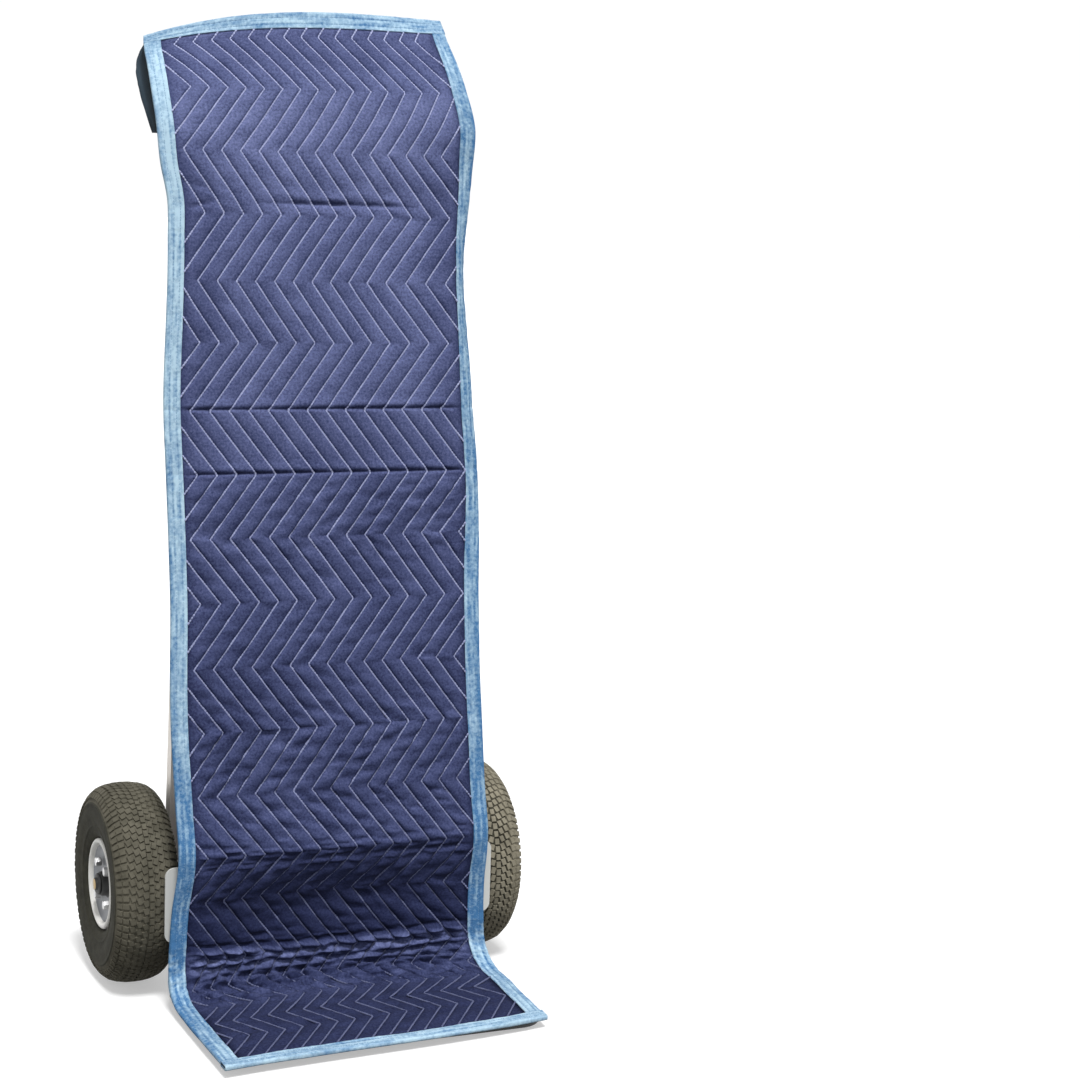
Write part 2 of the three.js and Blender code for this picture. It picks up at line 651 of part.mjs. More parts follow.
/** Tyre with a crowned tread and round sidewalls. */
function tyre(side) {
  const half = TYRE_WIDTH / 2;
  const segments = 40;
  const crown = WHEEL_RADIUS / Math.cos(Math.PI / segments);
  const profile = [
    [RIM_RADIUS + 2, -half + 10],
    [RIM_RADIUS + 14, -half + 4],
    [RIM_RADIUS + 34, -half],
    [crown - 20, -half + 3],
    [crown - 7, -half + 14],
    [crown - 1, -half + 28],
    [crown, 0],
    [crown - 1, half - 28],
    [crown - 7, half - 14],
    [crown - 20, half - 3],
    [RIM_RADIUS + 34, half],
    [RIM_RADIUS + 14, half - 4],
    [RIM_RADIUS + 2, half - 10],
    [RIM_RADIUS + 0.8, 0],
    [RIM_RADIUS + 2, -half + 10],
  ];
  return onAxle(profile, side, segments);
}

/** Dished rim with a rolled lip and a round hub. */
function rim(side) {
  const bore = STUB_RADIUS + 2 * FIT_GAP;
  const dish = RIM_FACE - RIM_DISH_DEPTH;
  const profile = [
    [bore, -30],
    [18, -30],
    [18, dish - 5],
    [46, dish - 5],
    [51, -30],
    [RIM_RADIUS, -30],
    [RIM_RADIUS, RIM_FACE - 3],
    [RIM_RADIUS - 3, RIM_FACE],
    [RIM_RADIUS - 7, RIM_FACE],
    [49, dish + 3],
    [42, dish],
    [18, dish],
    [16, RIM_FACE],
    [bore, RIM_FACE],
    [bore, -30],
  ];
  return onAxle(profile, side, 32);
}

/** Cap and bearing ring on the outer end of a stub axle. */
function hubCap(side) {
  const profile = [
    [0, RIM_FACE + FIT_GAP],
    [15, RIM_FACE + FIT_GAP],
    [15, RIM_FACE + 3],
    [9, RIM_FACE + 7],
    [0, RIM_FACE + 7],
  ];
  return onAxle(profile, side, 24);
}

/** Round bar along X. */
function barAlongX(radius, xLow, xHigh) {
  const bar = new THREE.CylinderGeometry(radius, radius, xHigh - xLow, 20);
  bar.rotateZ(Math.PI / 2).translate((xLow + xHigh) / 2, AXLE_Y, WHEEL_RADIUS);
  return bar;
}

/** The two stub axles, from the bracket's web out to the hub cap. */
function stubAxle(side) {
  const near = RAIL_X + RAIL_WIDTH / 2 + BRACKET_SHEET + 2 * FIT_GAP;
  const far = WHEEL_X + RIM_FACE;
  return side > 0 ? barAlongX(STUB_RADIUS, near, far) : barAlongX(STUB_RADIUS, -far, -near);
}

const cover = new THREE.Group();
cover.add(piece('quilted_panel', quiltedPanel(), CLOTH));
cover.add(piece('binding_left', sideTape(-1), TAPE));
cover.add(piece('binding_right', sideTape(1), TAPE));
cover.add(piece('binding_top', endTape(TOP_ROW, topRows, { left: 0, right: 0 }), TAPE));
const toeInward = (length) => -toeRows(length);
cover.add(piece('binding_toe', endTape(TOE_ROW, toeInward, { left: 0, right: TAPE_TAB }), TAPE));
cover.add(piece('top_pocket', topPocket(), POCKET_CLOTH));

const truck = new THREE.Group();
const halfTube = RAIL_X + RAIL_WIDTH / 2;
for (const [name, side] of [['left', -1], ['right', 1]]) {
  truck.add(piece(`rail_${name}`, rail(side), ALUMINIUM));
  truck.add(piece(`rail_foot_${name}`, railFoot(side), BLACK_STEEL));
  truck.add(piece(`rear_brace_${name}`, rearBrace(side), ALUMINIUM));
  truck.add(piece(`axle_bracket_${name}`, axleBracket(side), ALUMINIUM));
  truck.add(piece(`stub_axle_${name}`, stubAxle(side), DARK_STEEL));
  truck.add(piece(`tyre_${name}`, tyre(side), RUBBER));
  truck.add(piece(`rim_${name}`, rim(side), RIM_PAINT));
  truck.add(piece(`hub_cap_${name}`, hubCap(side), BRASS));
}
CROSSBAR_HEIGHTS.forEach((z, i) => truck.add(piece(`cross_bar_${i + 1}`, crossBar(z), DARK_STEEL)));
truck.add(piece('handle_bar', handleBar(), ALUMINIUM));
truck.add(piece('axle_tube', barAlongX(AXLE_TUBE_RADIUS, -halfTube, halfTube), DARK_STEEL));
truck.add(piece('toe_plate', toePlate(), BLACK_STEEL));

cover.position.x = COVER_OFFSET;
const part = new THREE.Group();
part.add(cover, truck);
const frontY = facePoint(TOE_ROW, -COVER_WIDTH / 2).y - SEWN_GAP - TAPE_THICKNESS;
part.position.y = -(frontY + AXLE_Y + WHEEL_RADIUS) / 2;
part.updateMatrixWorld(true);

export default part;
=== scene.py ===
"""Quilted cover with bound edges, hung on a hand truck: cloth, stitches, wheels, finishes and light."""
import logging
import math
from collections.abc import Sequence
from dataclasses import dataclass, field
from enum import Enum
from itertools import starmap
from typing import NamedTuple

import bpy
import numpy as np
from bpy.types import Material, Mesh, Node, NodeSocket, NodeTree, Object
from mathutils import Matrix, Vector


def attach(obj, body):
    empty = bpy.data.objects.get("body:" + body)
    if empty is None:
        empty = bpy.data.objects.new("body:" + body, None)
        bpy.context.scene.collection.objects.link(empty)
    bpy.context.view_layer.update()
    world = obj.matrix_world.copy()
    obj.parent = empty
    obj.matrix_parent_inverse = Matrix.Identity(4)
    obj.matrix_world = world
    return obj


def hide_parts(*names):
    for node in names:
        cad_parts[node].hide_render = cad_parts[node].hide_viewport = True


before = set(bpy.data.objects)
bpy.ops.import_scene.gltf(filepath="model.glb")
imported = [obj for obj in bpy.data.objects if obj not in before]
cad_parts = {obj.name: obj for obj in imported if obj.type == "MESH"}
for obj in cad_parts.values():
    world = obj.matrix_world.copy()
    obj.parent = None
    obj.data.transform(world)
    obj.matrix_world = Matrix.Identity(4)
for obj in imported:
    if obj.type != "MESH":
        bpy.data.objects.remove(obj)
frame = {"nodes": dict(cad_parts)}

Array = np.ndarray
Knots = Sequence[tuple[float, float]]
Ease = tuple[float, float]
Spot = tuple[float, float]
Colour = tuple[float, float, float, float]

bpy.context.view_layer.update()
LOG = logging.getLogger("cover")
MM = 0.001
FULL_TURN = 2 * math.pi
BODY = "root"
# The tone attribute carries painted light and shade on the cloth, thread and pocket, and on the tapes their
# paleness with painted light and shade
UV_NAME, TONE_NAME = "Cloth", "tone"

# Frame of the CAD part: the cover hangs a little left of the truck, and the whole is centred front to back
COVER_OFFSET_MM = -5.0
FRAME_SHIFT_MM = -27.65

# The cloth is measured down its length in rows of the zigzag
LEAN = math.radians(7.9)
ROW_PITCH = 83.0
TOE_ROW_PITCH = 89.0
FOLD_ROW = 14.0
FOLD_HEIGHT = 199.0
TOP_ROW = 0.64
TOE_ROW = 19.09
SEAM_ROWS = (7.0, 8.0)

# Areas of the cloth, each eased in and out over two pairs of rows, and where it comes to lie on the toe
UPPER_AREA = ((2.6, 3.3), (6.9, 7.7))
LOWER_AREA = ((7.9, 8.4), (13.9, 14.2))
CRUMPLED_AREA = ((15.65, 15.85), (16.7, 17.2))
ONTO_TOE = (16.4, 17.2)
ON_TOE = (16.7, 17.2)


class Side(Enum):
    """A side of the object, seen from the front."""

    LEFT = -1
    RIGHT = 1

    @property
    def label(self) -> str:
        """Word used in piece names."""
        return self.name.lower()


class SideLine(NamedTuple):
    """Side edges of the cover at one zigzag row, in millimetres."""

    row: float
    left: float
    right: float


class DrapeLine(NamedTuple):
    """Depth and height of the cover's front face at one zigzag row, in millimetres."""

    row: float
    y_left: float
    y_mid: float
    y_right: float
    z_left: float
    z_mid: float
    z_right: float


class Swell(NamedTuple):
    """A shallow swell of the hanging cloth: its place, its reach and its lift."""

    row: float
    x: float
    row_reach: float
    x_reach: float
    lift: float


class Crease(NamedTuple):
    """A narrow fold across the cloth: its place, reach, slant per 100 mm, lift and bow at 200 mm."""

    row: float
    x: float
    row_reach: float
    x_reach: float
    slant: float
    lift: float
    bow: float = 0.0


class WrinkleBand(NamedTuple):
    """An area of fine wrinkles: its rows, its reach to each side, its lift and the wrinkles' lengths."""

    row_low: float
    row_high: float
    reach: float
    lift: float
    row_length: float
    x_length: float


class ZigzagTurn(NamedTuple):
    """A row where every stitch line turns: the middle line's place and the lines' spacing."""

    row: float
    place: float
    spacing: float


class PaleLine(NamedTuple):
    """How pale the binding is at one row, from 0, deep blue, to 1."""

    row: float
    left: float
    right: float


def on_lean(row: float) -> DrapeLine:
    """Front face on the straight, leaning part of the cover.

    Args:
        row: zigzag row.

    Returns:
        The drape line of that row.
    """
    up = (FOLD_ROW - row) * ROW_PITCH
    y = up * math.sin(LEAN)
    z = FOLD_HEIGHT + up * math.cos(LEAN)
    return DrapeLine(row, y, y, y, z, z, z)


SIDE_LINES = tuple(starmap(SideLine, (
    (0.64, -208, 208), (1.3, -212, 208), (2, -215, 212), (2.6, -213, 219), (3.2, -210, 216),
    (3.8, -202, 210), (4.4, -203, 203), (5, -205, 200), (5.6, -208, 202), (6.9, -214, 208),
    (8, -213, 214), (9, -212, 215), (10, -212, 212), (11.2, -215, 211), (12, -215, 212),
    (13, -212, 214), (14, -210, 217), (15, -215, 216), (16, -218, 220), (16.6, -219, 228),
    (17, -219, 230), (18, -219, 225), (19.09, -218, 218),
)))
DRAPE_LINES = (
    *starmap(DrapeLine, (
        (0.64, 221, 195, 236, 1246, 1286, 1289), (1, 210, 182, 206, 1231, 1257, 1262),
        (1.5, 181, 160, 168, 1208, 1222, 1228), (2, 155, 141, 141, 1181, 1185, 1191),
        (2.6, 133, 131, 125, 1135, 1137, 1142),
    )),
    *map(on_lean, (3.2, 4, 6, 8, 10, 12, 13.3)),
    *starmap(DrapeLine, (
        (13.8, 0, -2, 0, 216, 216, 216), (14, -1, -3, -1, 200, 199, 198),
        (14.25, 0, 2, 0, 182, 182, 180), (15, 6, 24, 6, 132, 134, 130),
        (15.6, 8, 30, 8, 88, 88, 86), (16, 8, 31, 8, 56, 58, 54),
        (16.3, 2, 26, -2, 33, 35, 32), (16.6, -22, 6, -20, 21, 22, 21),
        (17, -62, -36, -44, 18, 18, 18), (18, -148, -125, -106, 18, 18, 18),
        (19.09, -236, -222, -203, 18, 18, 18),
    )),
)
SWELLS = tuple(starmap(Swell, (
    (3.75, 40, 0.3, 110, -3), (5.2, -120, 1.1, 120, 3), (6.3, 110, 0.9, 110, 3),
    (9.4, 90, 0.8, 130, -4), (10.6, -100, 1, 120, 4), (12.4, 70, 0.7, 120, 4),
    (15.2, -60, 0.4, 90, -4),
)))
CREASES = tuple(starmap(Crease, (
    (3.80, 22, 0.035, 92, 0.0, -2.6), (3.69, 22, 0.11, 95, 0.0, 1.8),
    (3.93, 22, 0.09, 90, 0.0, 1.0), (3.55, -172, 0.045, 24, 0.5, -1.8),
    (3.85, -168, 0.04, 24, -0.4, -1.8), (3.3, 176, 0.2, 20, 0.0, 1.6),
    (2.9, 172, 0.05, 18, 0.4, -1.6), (4.05, 150, 0.05, 40, 0.1, -1.2),
    (7.01, 0, 0.022, 400, 0.0, -2.6), (6.93, 0, 0.05, 400, 0.0, 1.5),
    (8.01, 0, 0.022, 400, 0.0, -2.6), (7.93, 0, 0.05, 400, 0.0, 1.7),
    (8.45, 120, 0.04, 60, 0.02, -1.3), (8.72, 90, 0.04, 70, -0.02, -1.2),
    (12.75, 40, 0.04, 90, 0.02, -1.2), (13.3, -70, 0.04, 80, -0.02, -1.3),
    (13.91, 0, 0.06, 400, 0.0, 2.6), (14.1, 0, 0.06, 400, 0.0, -2.4),
    (15.83, 0, 0.03, 400, 0.0, -3.5, -0.19), (15.93, 0, 0.042, 400, 0.0, 7.5, -0.19),
    (16.02, -40, 0.028, 170, 0.02, -3.0, -0.1), (16.085, 20, 0.038, 190, 0.0, 6.0, -0.1),
    (16.165, 0, 0.028, 400, 0.0, -4.0, -0.12), (16.235, -20, 0.04, 190, 0.0, 5.5, -0.08),
    (16.36, 60, 0.035, 120, -0.04, 4.2), (16.3, 60, 0.03, 120, -0.04, -2.5),
    (16.4, -110, 0.035, 80, 0.05, 4.2), (16.48, -80, 0.03, 90, 0.05, -2.5),
    (16.56, 0, 0.04, 120, 0.02, 3.0),
)))
WRINKLES = tuple(starmap(WrinkleBand, (
    (1.0, 7.0, 195, 0.9, 0.2, 36), (8.1, 9.5, 195, 3.3, 0.085, 26),
    (9.2, 12.2, 195, 2.1, 0.09, 27), (11.6, 14.0, 195, 4.6, 0.085, 25),
    (14.0, 15.8, 195, 4.2, 0.11, 26), (15.75, 16.85, 200, 7.0, 0.12, 20),
    (15.7, 16.9, 200, 3.2, 0.06, 14), (16.8, 18.9, 200, 3.2, 0.12, 24),
)))
ZIGZAG_TURNS = tuple(starmap(ZigzagTurn, (
    (0.03, 31.0, 24.1), (1.03, -31.5, 24.1), (2.0, 29.0, 24.1), (3.0, -32.5, 25.0),
    (3.975, 21.9, 26.6), (5.02, -38.6, 26.9), (5.975, 18.2, 26.6), (7.035, -47.9, 26.4),
    (8.02, 9.4, 26.1), (9.01, -54.2, 26.4), (10.01, 8.0, 26.1), (11.02, -54.9, 25.7),
    (12.015, 6.4, 25.4), (13.0, -56.4, 25.5), (13.95, 0.8, 25.3), (14.92, -44.0, 25.2),
    (15.97, 18.2, 25.4), (16.4, -14.0, 24.5), (16.86, 20.0, 23.2), (17.43, -23.0, 23.0),
    (18.1, 4.0, 23.0), (18.85, -41.0, 23.0), (19.5, -8.0, 23.0),
)))
# How pale the tapes are by row, left and right; the deep dip on the slope below the fold, rows 13.4 to 15.6,
# is painted shade
PALE_LINES = tuple(starmap(PaleLine, (
    (0.6, 0.58, 0.52), (2.0, 0.98, 0.46), (8.0, 0.7, 0.4), (12.0, 0.6, 0.36), (13.4, 0.2, 0.22),
    (15.6, 0.14, 0.16), (16.2, 0.34, 0.5), (17.2, 0.34, 0.6), (19.2, 0.66, 0.72),
)))

# How far the right edge rolls back, in radians, and the cloth's painted light and shade, both by row: lighter
# high up, darker in the fold's shadow at row 14 and on the slope below it, a painted highlight on the ridge
# near row 16, and darker on the toe
ROLL_BY_ROW: Knots = (
    (2.9, 0.0), (3.5, 0.5), (4.1, 0.78), (4.8, 1.08), (5.2, 1.08), (5.8, 0.9), (6.4, 0.72),
    (7.2, 0.5), (8.3, 0.42), (9.4, 0.0),
)
PAINTED_SHADE_BY_ROW: Knots = (
    (1.5, 1.0), (2.4, 1.6), (4.0, 1.21), (6.7, 1.18), (8.2, 0.775), (12.0, 0.585), (13.2, 0.63),
    (13.7, 0.59), (13.95, 0.49), (14.06, 0.36), (15.6, 0.22), (15.86, 0.2), (15.94, 0.8),
    (16.3, 0.62), (17.2, 0.25), (19.0, 0.25),
)

# Painted shade of the quilting thread, by height in millimetres: darker low down, where the cloth's painted
# shade is deep
THREAD_PAINTED_SHADE_BY_HEIGHT: Knots = (
    (18, 0.26), (45, 0.22), (60, 0.22), (130, 0.36), (185, 0.25), (198, 0.3), (215, 0.56),
    (400, 0.72), (600, 0.84), (1200, 1.06),
)

# The pocket's depth behind the panel, how square its section is, and its painted light and shade: darker in
# the shade by the edges it is sewn to and on its rear face, a painted highlight on its flanks, and darker at
# its top and bottom
POCKET_ROWS = (0.7, 0.893, 1.0, 1.5, 2.0, 2.5, 2.75)
POCKET_DEPTHS = (6, 38, 52, 84, 88, 80, 76)
POCKET_SQUARENESS = (4, 6, 8, 12, 10, 6, 4)
POCKET_PAINTED_SHADE_BY_BULGE: Knots = (
    (0.0, 0.1), (0.08, 0.15), (0.24, 0.9), (0.75, 1.0), (0.95, 0.6), (1.0, 0.4),
)
POCKET_PAINTED_SHADE_BY_ROW: Knots = (
    (0.7, 0.55), (1.2, 0.7), (1.6, 1.05), (2.3, 1.05), (2.55, 0.7), (2.75, 0.35),
)


def smoothstep(low: float, high: float, value: Array) -> Array:
    """Eased step from 0 at low to 1 at high."""
    t = np.clip((value - low) / (high - low), 0.0, 1.0)
    return t * t * (3.0 - 2.0 * t)


def window(value: Array, rise: Ease, fall: Ease) -> Array:
    """1 between an eased rise and an eased fall, and 0 outside."""
    return smoothstep(*rise, value) * (1 - smoothstep(*fall, value))


def hump(value: Array, middle: Array | float, reach: float) -> Array:
    """1 at the middle, fading to 0 over the reach."""
    return np.exp(-((value - middle) / reach) ** 2)


def curve(knots: Knots, value: Array) -> Array:
    """Height of straight lines between knots."""
    places, heights = zip(*knots)
    return np.interp(value, places, heights)


class Layer(NamedTuple):
    """One layer of an uneven field: its share, and its lengths and shifts in two directions."""

    share: float
    u_length: float
    v_length: float
    u_shift: float = 0.0
    v_shift: float = 0.0


@dataclass
class Rumple:
    """Seeded, smooth, uneven field for wrinkles and small variations."""

    seed: int
    size: int = 61
    lattice: Array = field(init=False)

    def __post_init__(self) -> None:
        """Draws the lattice."""
        self.lattice = np.random.default_rng(self.seed).uniform(-1.0, 1.0, (self.size, self.size))

    def at(self, u: Array, v: Array | float) -> Array:
        """Field at lattice coordinates.

        Args:
            u: first coordinate.
            v: second coordinate.

        Returns:
            Values from about -1 to 1.
        """
        u, v = np.broadcast_arrays(np.asarray(u, float), np.asarray(v, float))
        iu, iv = np.floor(u).astype(int), np.floor(v).astype(int)
        fu, fv = (t * t * (3 - 2 * t) for t in (u - iu, v - iv))

        def between(line: Array) -> Array:
            """Values on one line of the lattice."""
            first, second = (self.lattice[i % self.size, line % self.size] for i in (iu, iu + 1))
            return first * (1 - fu) + second * fu

        return between(iv) * (1 - fv) + between(iv + 1) * fv

    def layered(self, u: Array, v: Array, *layers: Layer) -> Array:
        """Sum of layers of the field at distances in two directions."""
        return sum(share * self.at(u / u_length + u_shift, v / v_length + v_shift)
                   for share, u_length, v_length, u_shift, v_shift in layers)


class Track:
    """Smooth curve through the knots of one column of a table."""

    def __init__(self, rows: Sequence[float], values: Sequence[float]) -> None:
        """Keeps the knots and their slopes.

        Args:
            rows: places of the knots.
            values: values at the knots.
        """
        self.rows = np.asarray(rows, float)
        self.values = np.asarray(values, float)
        slope = np.diff(self.values) / np.diff(self.rows)
        self.slopes = np.concatenate([slope[:1], (slope[:-1] + slope[1:]) / 2, slope[-1:]])

    def at(self, row: Array) -> Array:
        """Values of the curve.

        Args:
            row: places on the curve.

        Returns:
            The curve's values there.
        """
        i = np.clip(np.searchsorted(self.rows, row) - 1, 0, len(self.rows) - 2)
        span = self.rows[i + 1] - self.rows[i]
        t = (row - self.rows[i]) / span
        ease = t * t * (3 - 2 * t)
        pull = t * (1 - t) ** 2 * span * self.slopes[i] + t * t * (t - 1) * span * self.slopes[i + 1]
        return self.values[i] + ease * (self.values[i + 1] - self.values[i]) + pull


@dataclass
class HangingCloth:
    """Shape of the cover as it hangs, by zigzag row and flat sideways place, in millimetres."""

    width: float = 425.0
    lines_each_side: int = 12
    straight_slant: float = 0.6
    slope_rows: float = 0.02
    slope_x: float = 2.0
    swells_end: Ease = (16.0, 16.6)
    roll_start: float = 186.0
    roll_pull: float = 90.0
    roll_view: float = 0.46
    roll_slack_turn: float = 0.4
    least_turn: float = 1e-3
    crumple_start: Ease = (15.4, 15.8)
    crumple_pinch: float = 0.5
    crease_wobble: float = 0.03
    wobble_length: float = 15.0
    crease_length: float = 37.0
    crumple_length: float = 19.0
    crease_drift: float = 90.0
    uneven: float = 0.35
    crumple_uneven: float = 0.8
    band_outside: float = 0.15
    band_inside: float = 0.25
    band_side: float = 25.0
    tracks: dict[str, Track] = field(default_factory=dict)
    rumple: Rumple = field(default_factory=lambda: Rumple(seed=11))

    SLANT_UNIT = 100.0
    BOW_UNIT = 200.0
    CHANNEL_SHIFT = (7.3, 3.7)
    SHARP_WAVE = (0.5, 0.9, 0.45)
    FINE_WAVE = (0.5, 2.1, 1.7, 9.0)

    def __post_init__(self) -> None:
        """Makes the smooth curves from the tables."""
        for table in (SIDE_LINES, DRAPE_LINES):
            rows, *columns = zip(*table)
            for name, column in zip(table[0]._fields[1:], columns):
                self.tracks[name] = Track(rows, column)

    def face(self, row: Array, x: Array) -> Array:
        """Front face without its small relief.

        Args:
            row: zigzag rows.
            x: flat sideways places.

        Returns:
            Points, one row each.
        """
        u = x / (self.width / 2)
        slant = u * (self.straight_slant + (1 - self.straight_slant) * u * u)
        at = {name: track.at(row) for name, track in self.tracks.items()}

        def across(axis: str) -> Array:
            """Depth or height across the cloth."""
            left, mid, right = (at[f"{axis}_{part}"] for part in ("left", "mid", "right"))
            return mid + (right - left) / 2 * slant + ((right + left) / 2 - mid) * u * u

        sideways = at["left"] + (at["right"] - at["left"]) * (u + 1) / 2
        aside, back = self.roll(row, x, at["left"], at["right"])
        return np.stack([sideways + aside, across("y") + back, across("z")], axis=-1)

    def roll(self, row: Array, x: Array, left: Array, right: Array) -> tuple[Array, Array]:
        """Moves of the right edge where it rolls back round the rail.

        Args:
            row: zigzag rows.
            x: flat sideways places.
            left: sideways place of the left edge.
            right: sideways place of the right edge.

        Returns:
            Moves sideways and backwards, in millimetres.
        """
        turn = np.maximum(curve(ROLL_BY_ROW, row), self.least_turn)
        half = self.width / 2
        length = half - self.roll_start
        tight = (right - left) / self.width
        radius = length * (tight + (1 - tight) * smoothstep(0.0, self.roll_slack_turn, turn)) / turn
        angle = turn * np.maximum(x - self.roll_start, 0.0) / length
        start = right + radius * (self.roll_view * (1 - np.cos(turn)) - np.sin(turn))
        pulled = start - right + tight * length
        slack = pulled * np.clip((x - self.roll_pull) / (self.roll_start - self.roll_pull), 0.0, 1.0)
        rolled = start + radius * np.sin(angle) - right + tight * (half - x)
        return np.where(x > self.roll_start, rolled, slack), radius * (1 - np.cos(angle))

    def normal(self, row: Array, x: Array) -> Array:
        """Outward normal of the front face.

        Args:
            row: zigzag rows.
            x: flat sideways places.

        Returns:
            Unit vectors, one row each.
        """
        down = self.face(row + self.slope_rows, x) - self.face(row - self.slope_rows, x)
        across = self.face(row, x + self.slope_x) - self.face(row, x - self.slope_x)
        out = np.cross(down, across)
        return out / np.linalg.norm(out, axis=-1, keepdims=True)

    def drape(self, row: Array, x: Array, over: Array | float) -> Array:
        """Points of the hanging cover at a height over its crests, in the part's frame.

        Args:
            row: zigzag rows.
            x: flat sideways places.
            over: height over the crests.

        Returns:
            Points in millimetres, one row each.
        """
        row, x = np.broadcast_arrays(np.asarray(row, float), np.asarray(x, float))
        lift = np.zeros_like(row)
        for swell in SWELLS:
            lift += swell.lift * hump(row, swell.row, swell.row_reach) * hump(x, swell.x, swell.x_reach)
        lift = over + lift * (1 - smoothstep(*self.swells_end, row))
        points = self.face(row, x) + self.normal(row, x) * lift[..., None]
        return points + np.array([COVER_OFFSET_MM, FRAME_SHIFT_MM, 0.0])

    @staticmethod
    def stitch_place(row: Array | float, line: Array | float) -> Array:
        """Flat sideways place of a stitch line, numbered from the middle one, at some rows."""
        rows, places, spacings = zip(*ZIGZAG_TURNS)
        return np.interp(row, rows, places) + line * np.interp(row, rows, spacings)

    def relief(self, row: Array, x: Array, free: Array | float) -> Array:
        """Creases, sewn lines and wrinkles of the front face.

        Args:
            row: zigzag rows.
            x: flat sideways places.
            free: how far the cloth is from being held by a stitch, from 0 to 1.

        Returns:
            Lift in millimetres.
        """
        row, x, free = np.broadcast_arrays(*(np.asarray(value, float) for value in (row, x, free)))
        return self.creased(row, x, free) + self.wrinkled(row, x, free)

    def creased(self, row: Array, x: Array, free: Array) -> Array:
        """Lift of the single creases and sewn lines.

        Args:
            row: zigzag rows.
            x: flat sideways places.
            free: how far the cloth is from being held by a stitch, from 0 to 1.

        Returns:
            Lift in millimetres.
        """
        lift = np.zeros(row.shape)
        crumpled = smoothstep(*self.crumple_start, row)
        pinch = 1 - self.crumple_pinch * crumpled * (1 - free)
        length = self.crease_length + (self.crumple_length - self.crease_length) * crumpled
        uneven = self.uneven + (self.crumple_uneven - self.uneven) * crumpled
        for crease in CREASES:
            away = x - crease.x
            slant = crease.slant * away / self.SLANT_UNIT + crease.bow * (away / self.BOW_UNIT) ** 2
            wobble = self.rumple.at(x / self.wobble_length + crease.row * 3, crease.row * 5)
            place = row - crease.row - slant + self.crease_wobble * crumpled * wobble
            vary = 1 + uneven * self.rumple.at(x / length + crease.row * 7, x / self.crease_drift)
            lift += (crease.lift * vary * pinch * hump(place, 0.0, crease.row_reach)
                     * np.exp(-(away / crease.x_reach) ** 4))
        return lift

    def wrinkled(self, row: Array, x: Array, free: Array) -> Array:
        """Lift of the fine wrinkles between the stitch lines.

        Args:
            row: zigzag rows.
            x: flat sideways places.
            free: how far the cloth is from being held by a stitch, from 0 to 1.

        Returns:
            Lift in millimetres.
        """
        lift = np.zeros(row.shape)
        middle, beside = self.stitch_place(row, 0), self.stitch_place(row, 1)
        channel = np.floor((x - middle) / (beside - middle))
        out, within, side = self.band_outside, self.band_inside, self.band_side
        share, sharp, level = self.SHARP_WAVE
        fine, finer_down, finer_across, apart = self.FINE_WAVE
        for band in WRINKLES:
            inside = window(row, (band.row_low - out, band.row_low + within),
                            (band.row_high - within, band.row_high + out))
            inside = inside * window(x, (-band.reach - side, -band.reach + side),
                                     (band.reach - side, band.reach + side))
            along = row / band.row_length + self.CHANNEL_SHIFT[0] * channel
            across = x / band.x_length + self.CHANNEL_SHIFT[1] * channel
            wave = self.rumple.at(along, across)
            wave = share * wave + sharp * (level - np.abs(wave))
            wave += fine * self.rumple.at(along * finer_down, across * finer_across + apart)
            lift += band.lift * inside * wave * free
        return lift


def to_frame(points: Array) -> Array:
    """Points in millimetres as rows of metres."""
    return np.asarray(points, float).reshape(-1, 3) * MM


def add_object(name: str, data: bpy.types.ID) -> Object:
    """New object of the scene.

    Args:
        name: name of the object.
        data: what it shows.

    Returns:
        The object.
    """
    made = bpy.data.objects.new(name, data)
    bpy.context.scene.collection.objects.link(made)
    return made


def make_piece(name: str, points: Array, faces: Sequence[Sequence[int]], material: Material,
               uv: Array | None = None, smooth: bool = True) -> Object:
    """Object with its place in its mesh.

    Args:
        name: name of the piece.
        points: corners in metres.
        faces: corner numbers of each face.
        material: finish of the piece.
        uv: flat place of each corner, for patterns that follow the surface.
        smooth: whether faces are shaded smooth.

    Returns:
        The new object.
    """
    mesh = bpy.data.meshes.new(name)
    mesh.from_pydata(points.tolist(), [], [list(face) for face in faces])
    mesh.validate()
    mesh.polygons.foreach_set("use_smooth", [smooth] * len(mesh.polygons))
    if uv is not None:
        corner = np.zeros(len(mesh.loops), np.int32)
        mesh.loops.foreach_get("vertex_index", corner)
        layer = mesh.uv_layers.new(name=UV_NAME)
        layer.data.foreach_set("uv", uv[corner].astype(np.float32).ravel())
    mesh.materials.append(material)
    mesh.update()
    return add_object(name, mesh)


def corner_vectors(piece: Object, name: str) -> Array:
    """Places or normals of a piece's corners.

    Args:
        piece: the piece.
        name: co or normal.

    Returns:
        Vectors, one row each.
    """
    values = np.zeros(len(piece.data.vertices) * 3)
    piece.data.vertices.foreach_get(name, values)
    return values.reshape(-1, 3)


def add_tone(piece: Object, tone: Array) -> None:
    """Keeps a value for each corner as the attribute that a finish reads."""
    attribute = piece.data.attributes.new(TONE_NAME, "FLOAT", "POINT")
    attribute.data.foreach_set("value", tone.astype(np.float32))


def turn_outwards(piece: Object) -> None:
    """Turns every face of a closed piece outwards.

    Args:
        piece: the closed piece.
    """
    mesh = piece.data
    mesh.calc_loop_triangles()
    triangles = np.zeros(len(mesh.loop_triangles) * 3, np.int32)
    mesh.loop_triangles.foreach_get("vertices", triangles)
    a, b, c = corner_vectors(piece, "co")[triangles.reshape(-1, 3).T]
    if float(np.einsum("ij,ij->i", a, np.cross(b, c)).sum()) < 0:
        mesh.flip_normals()


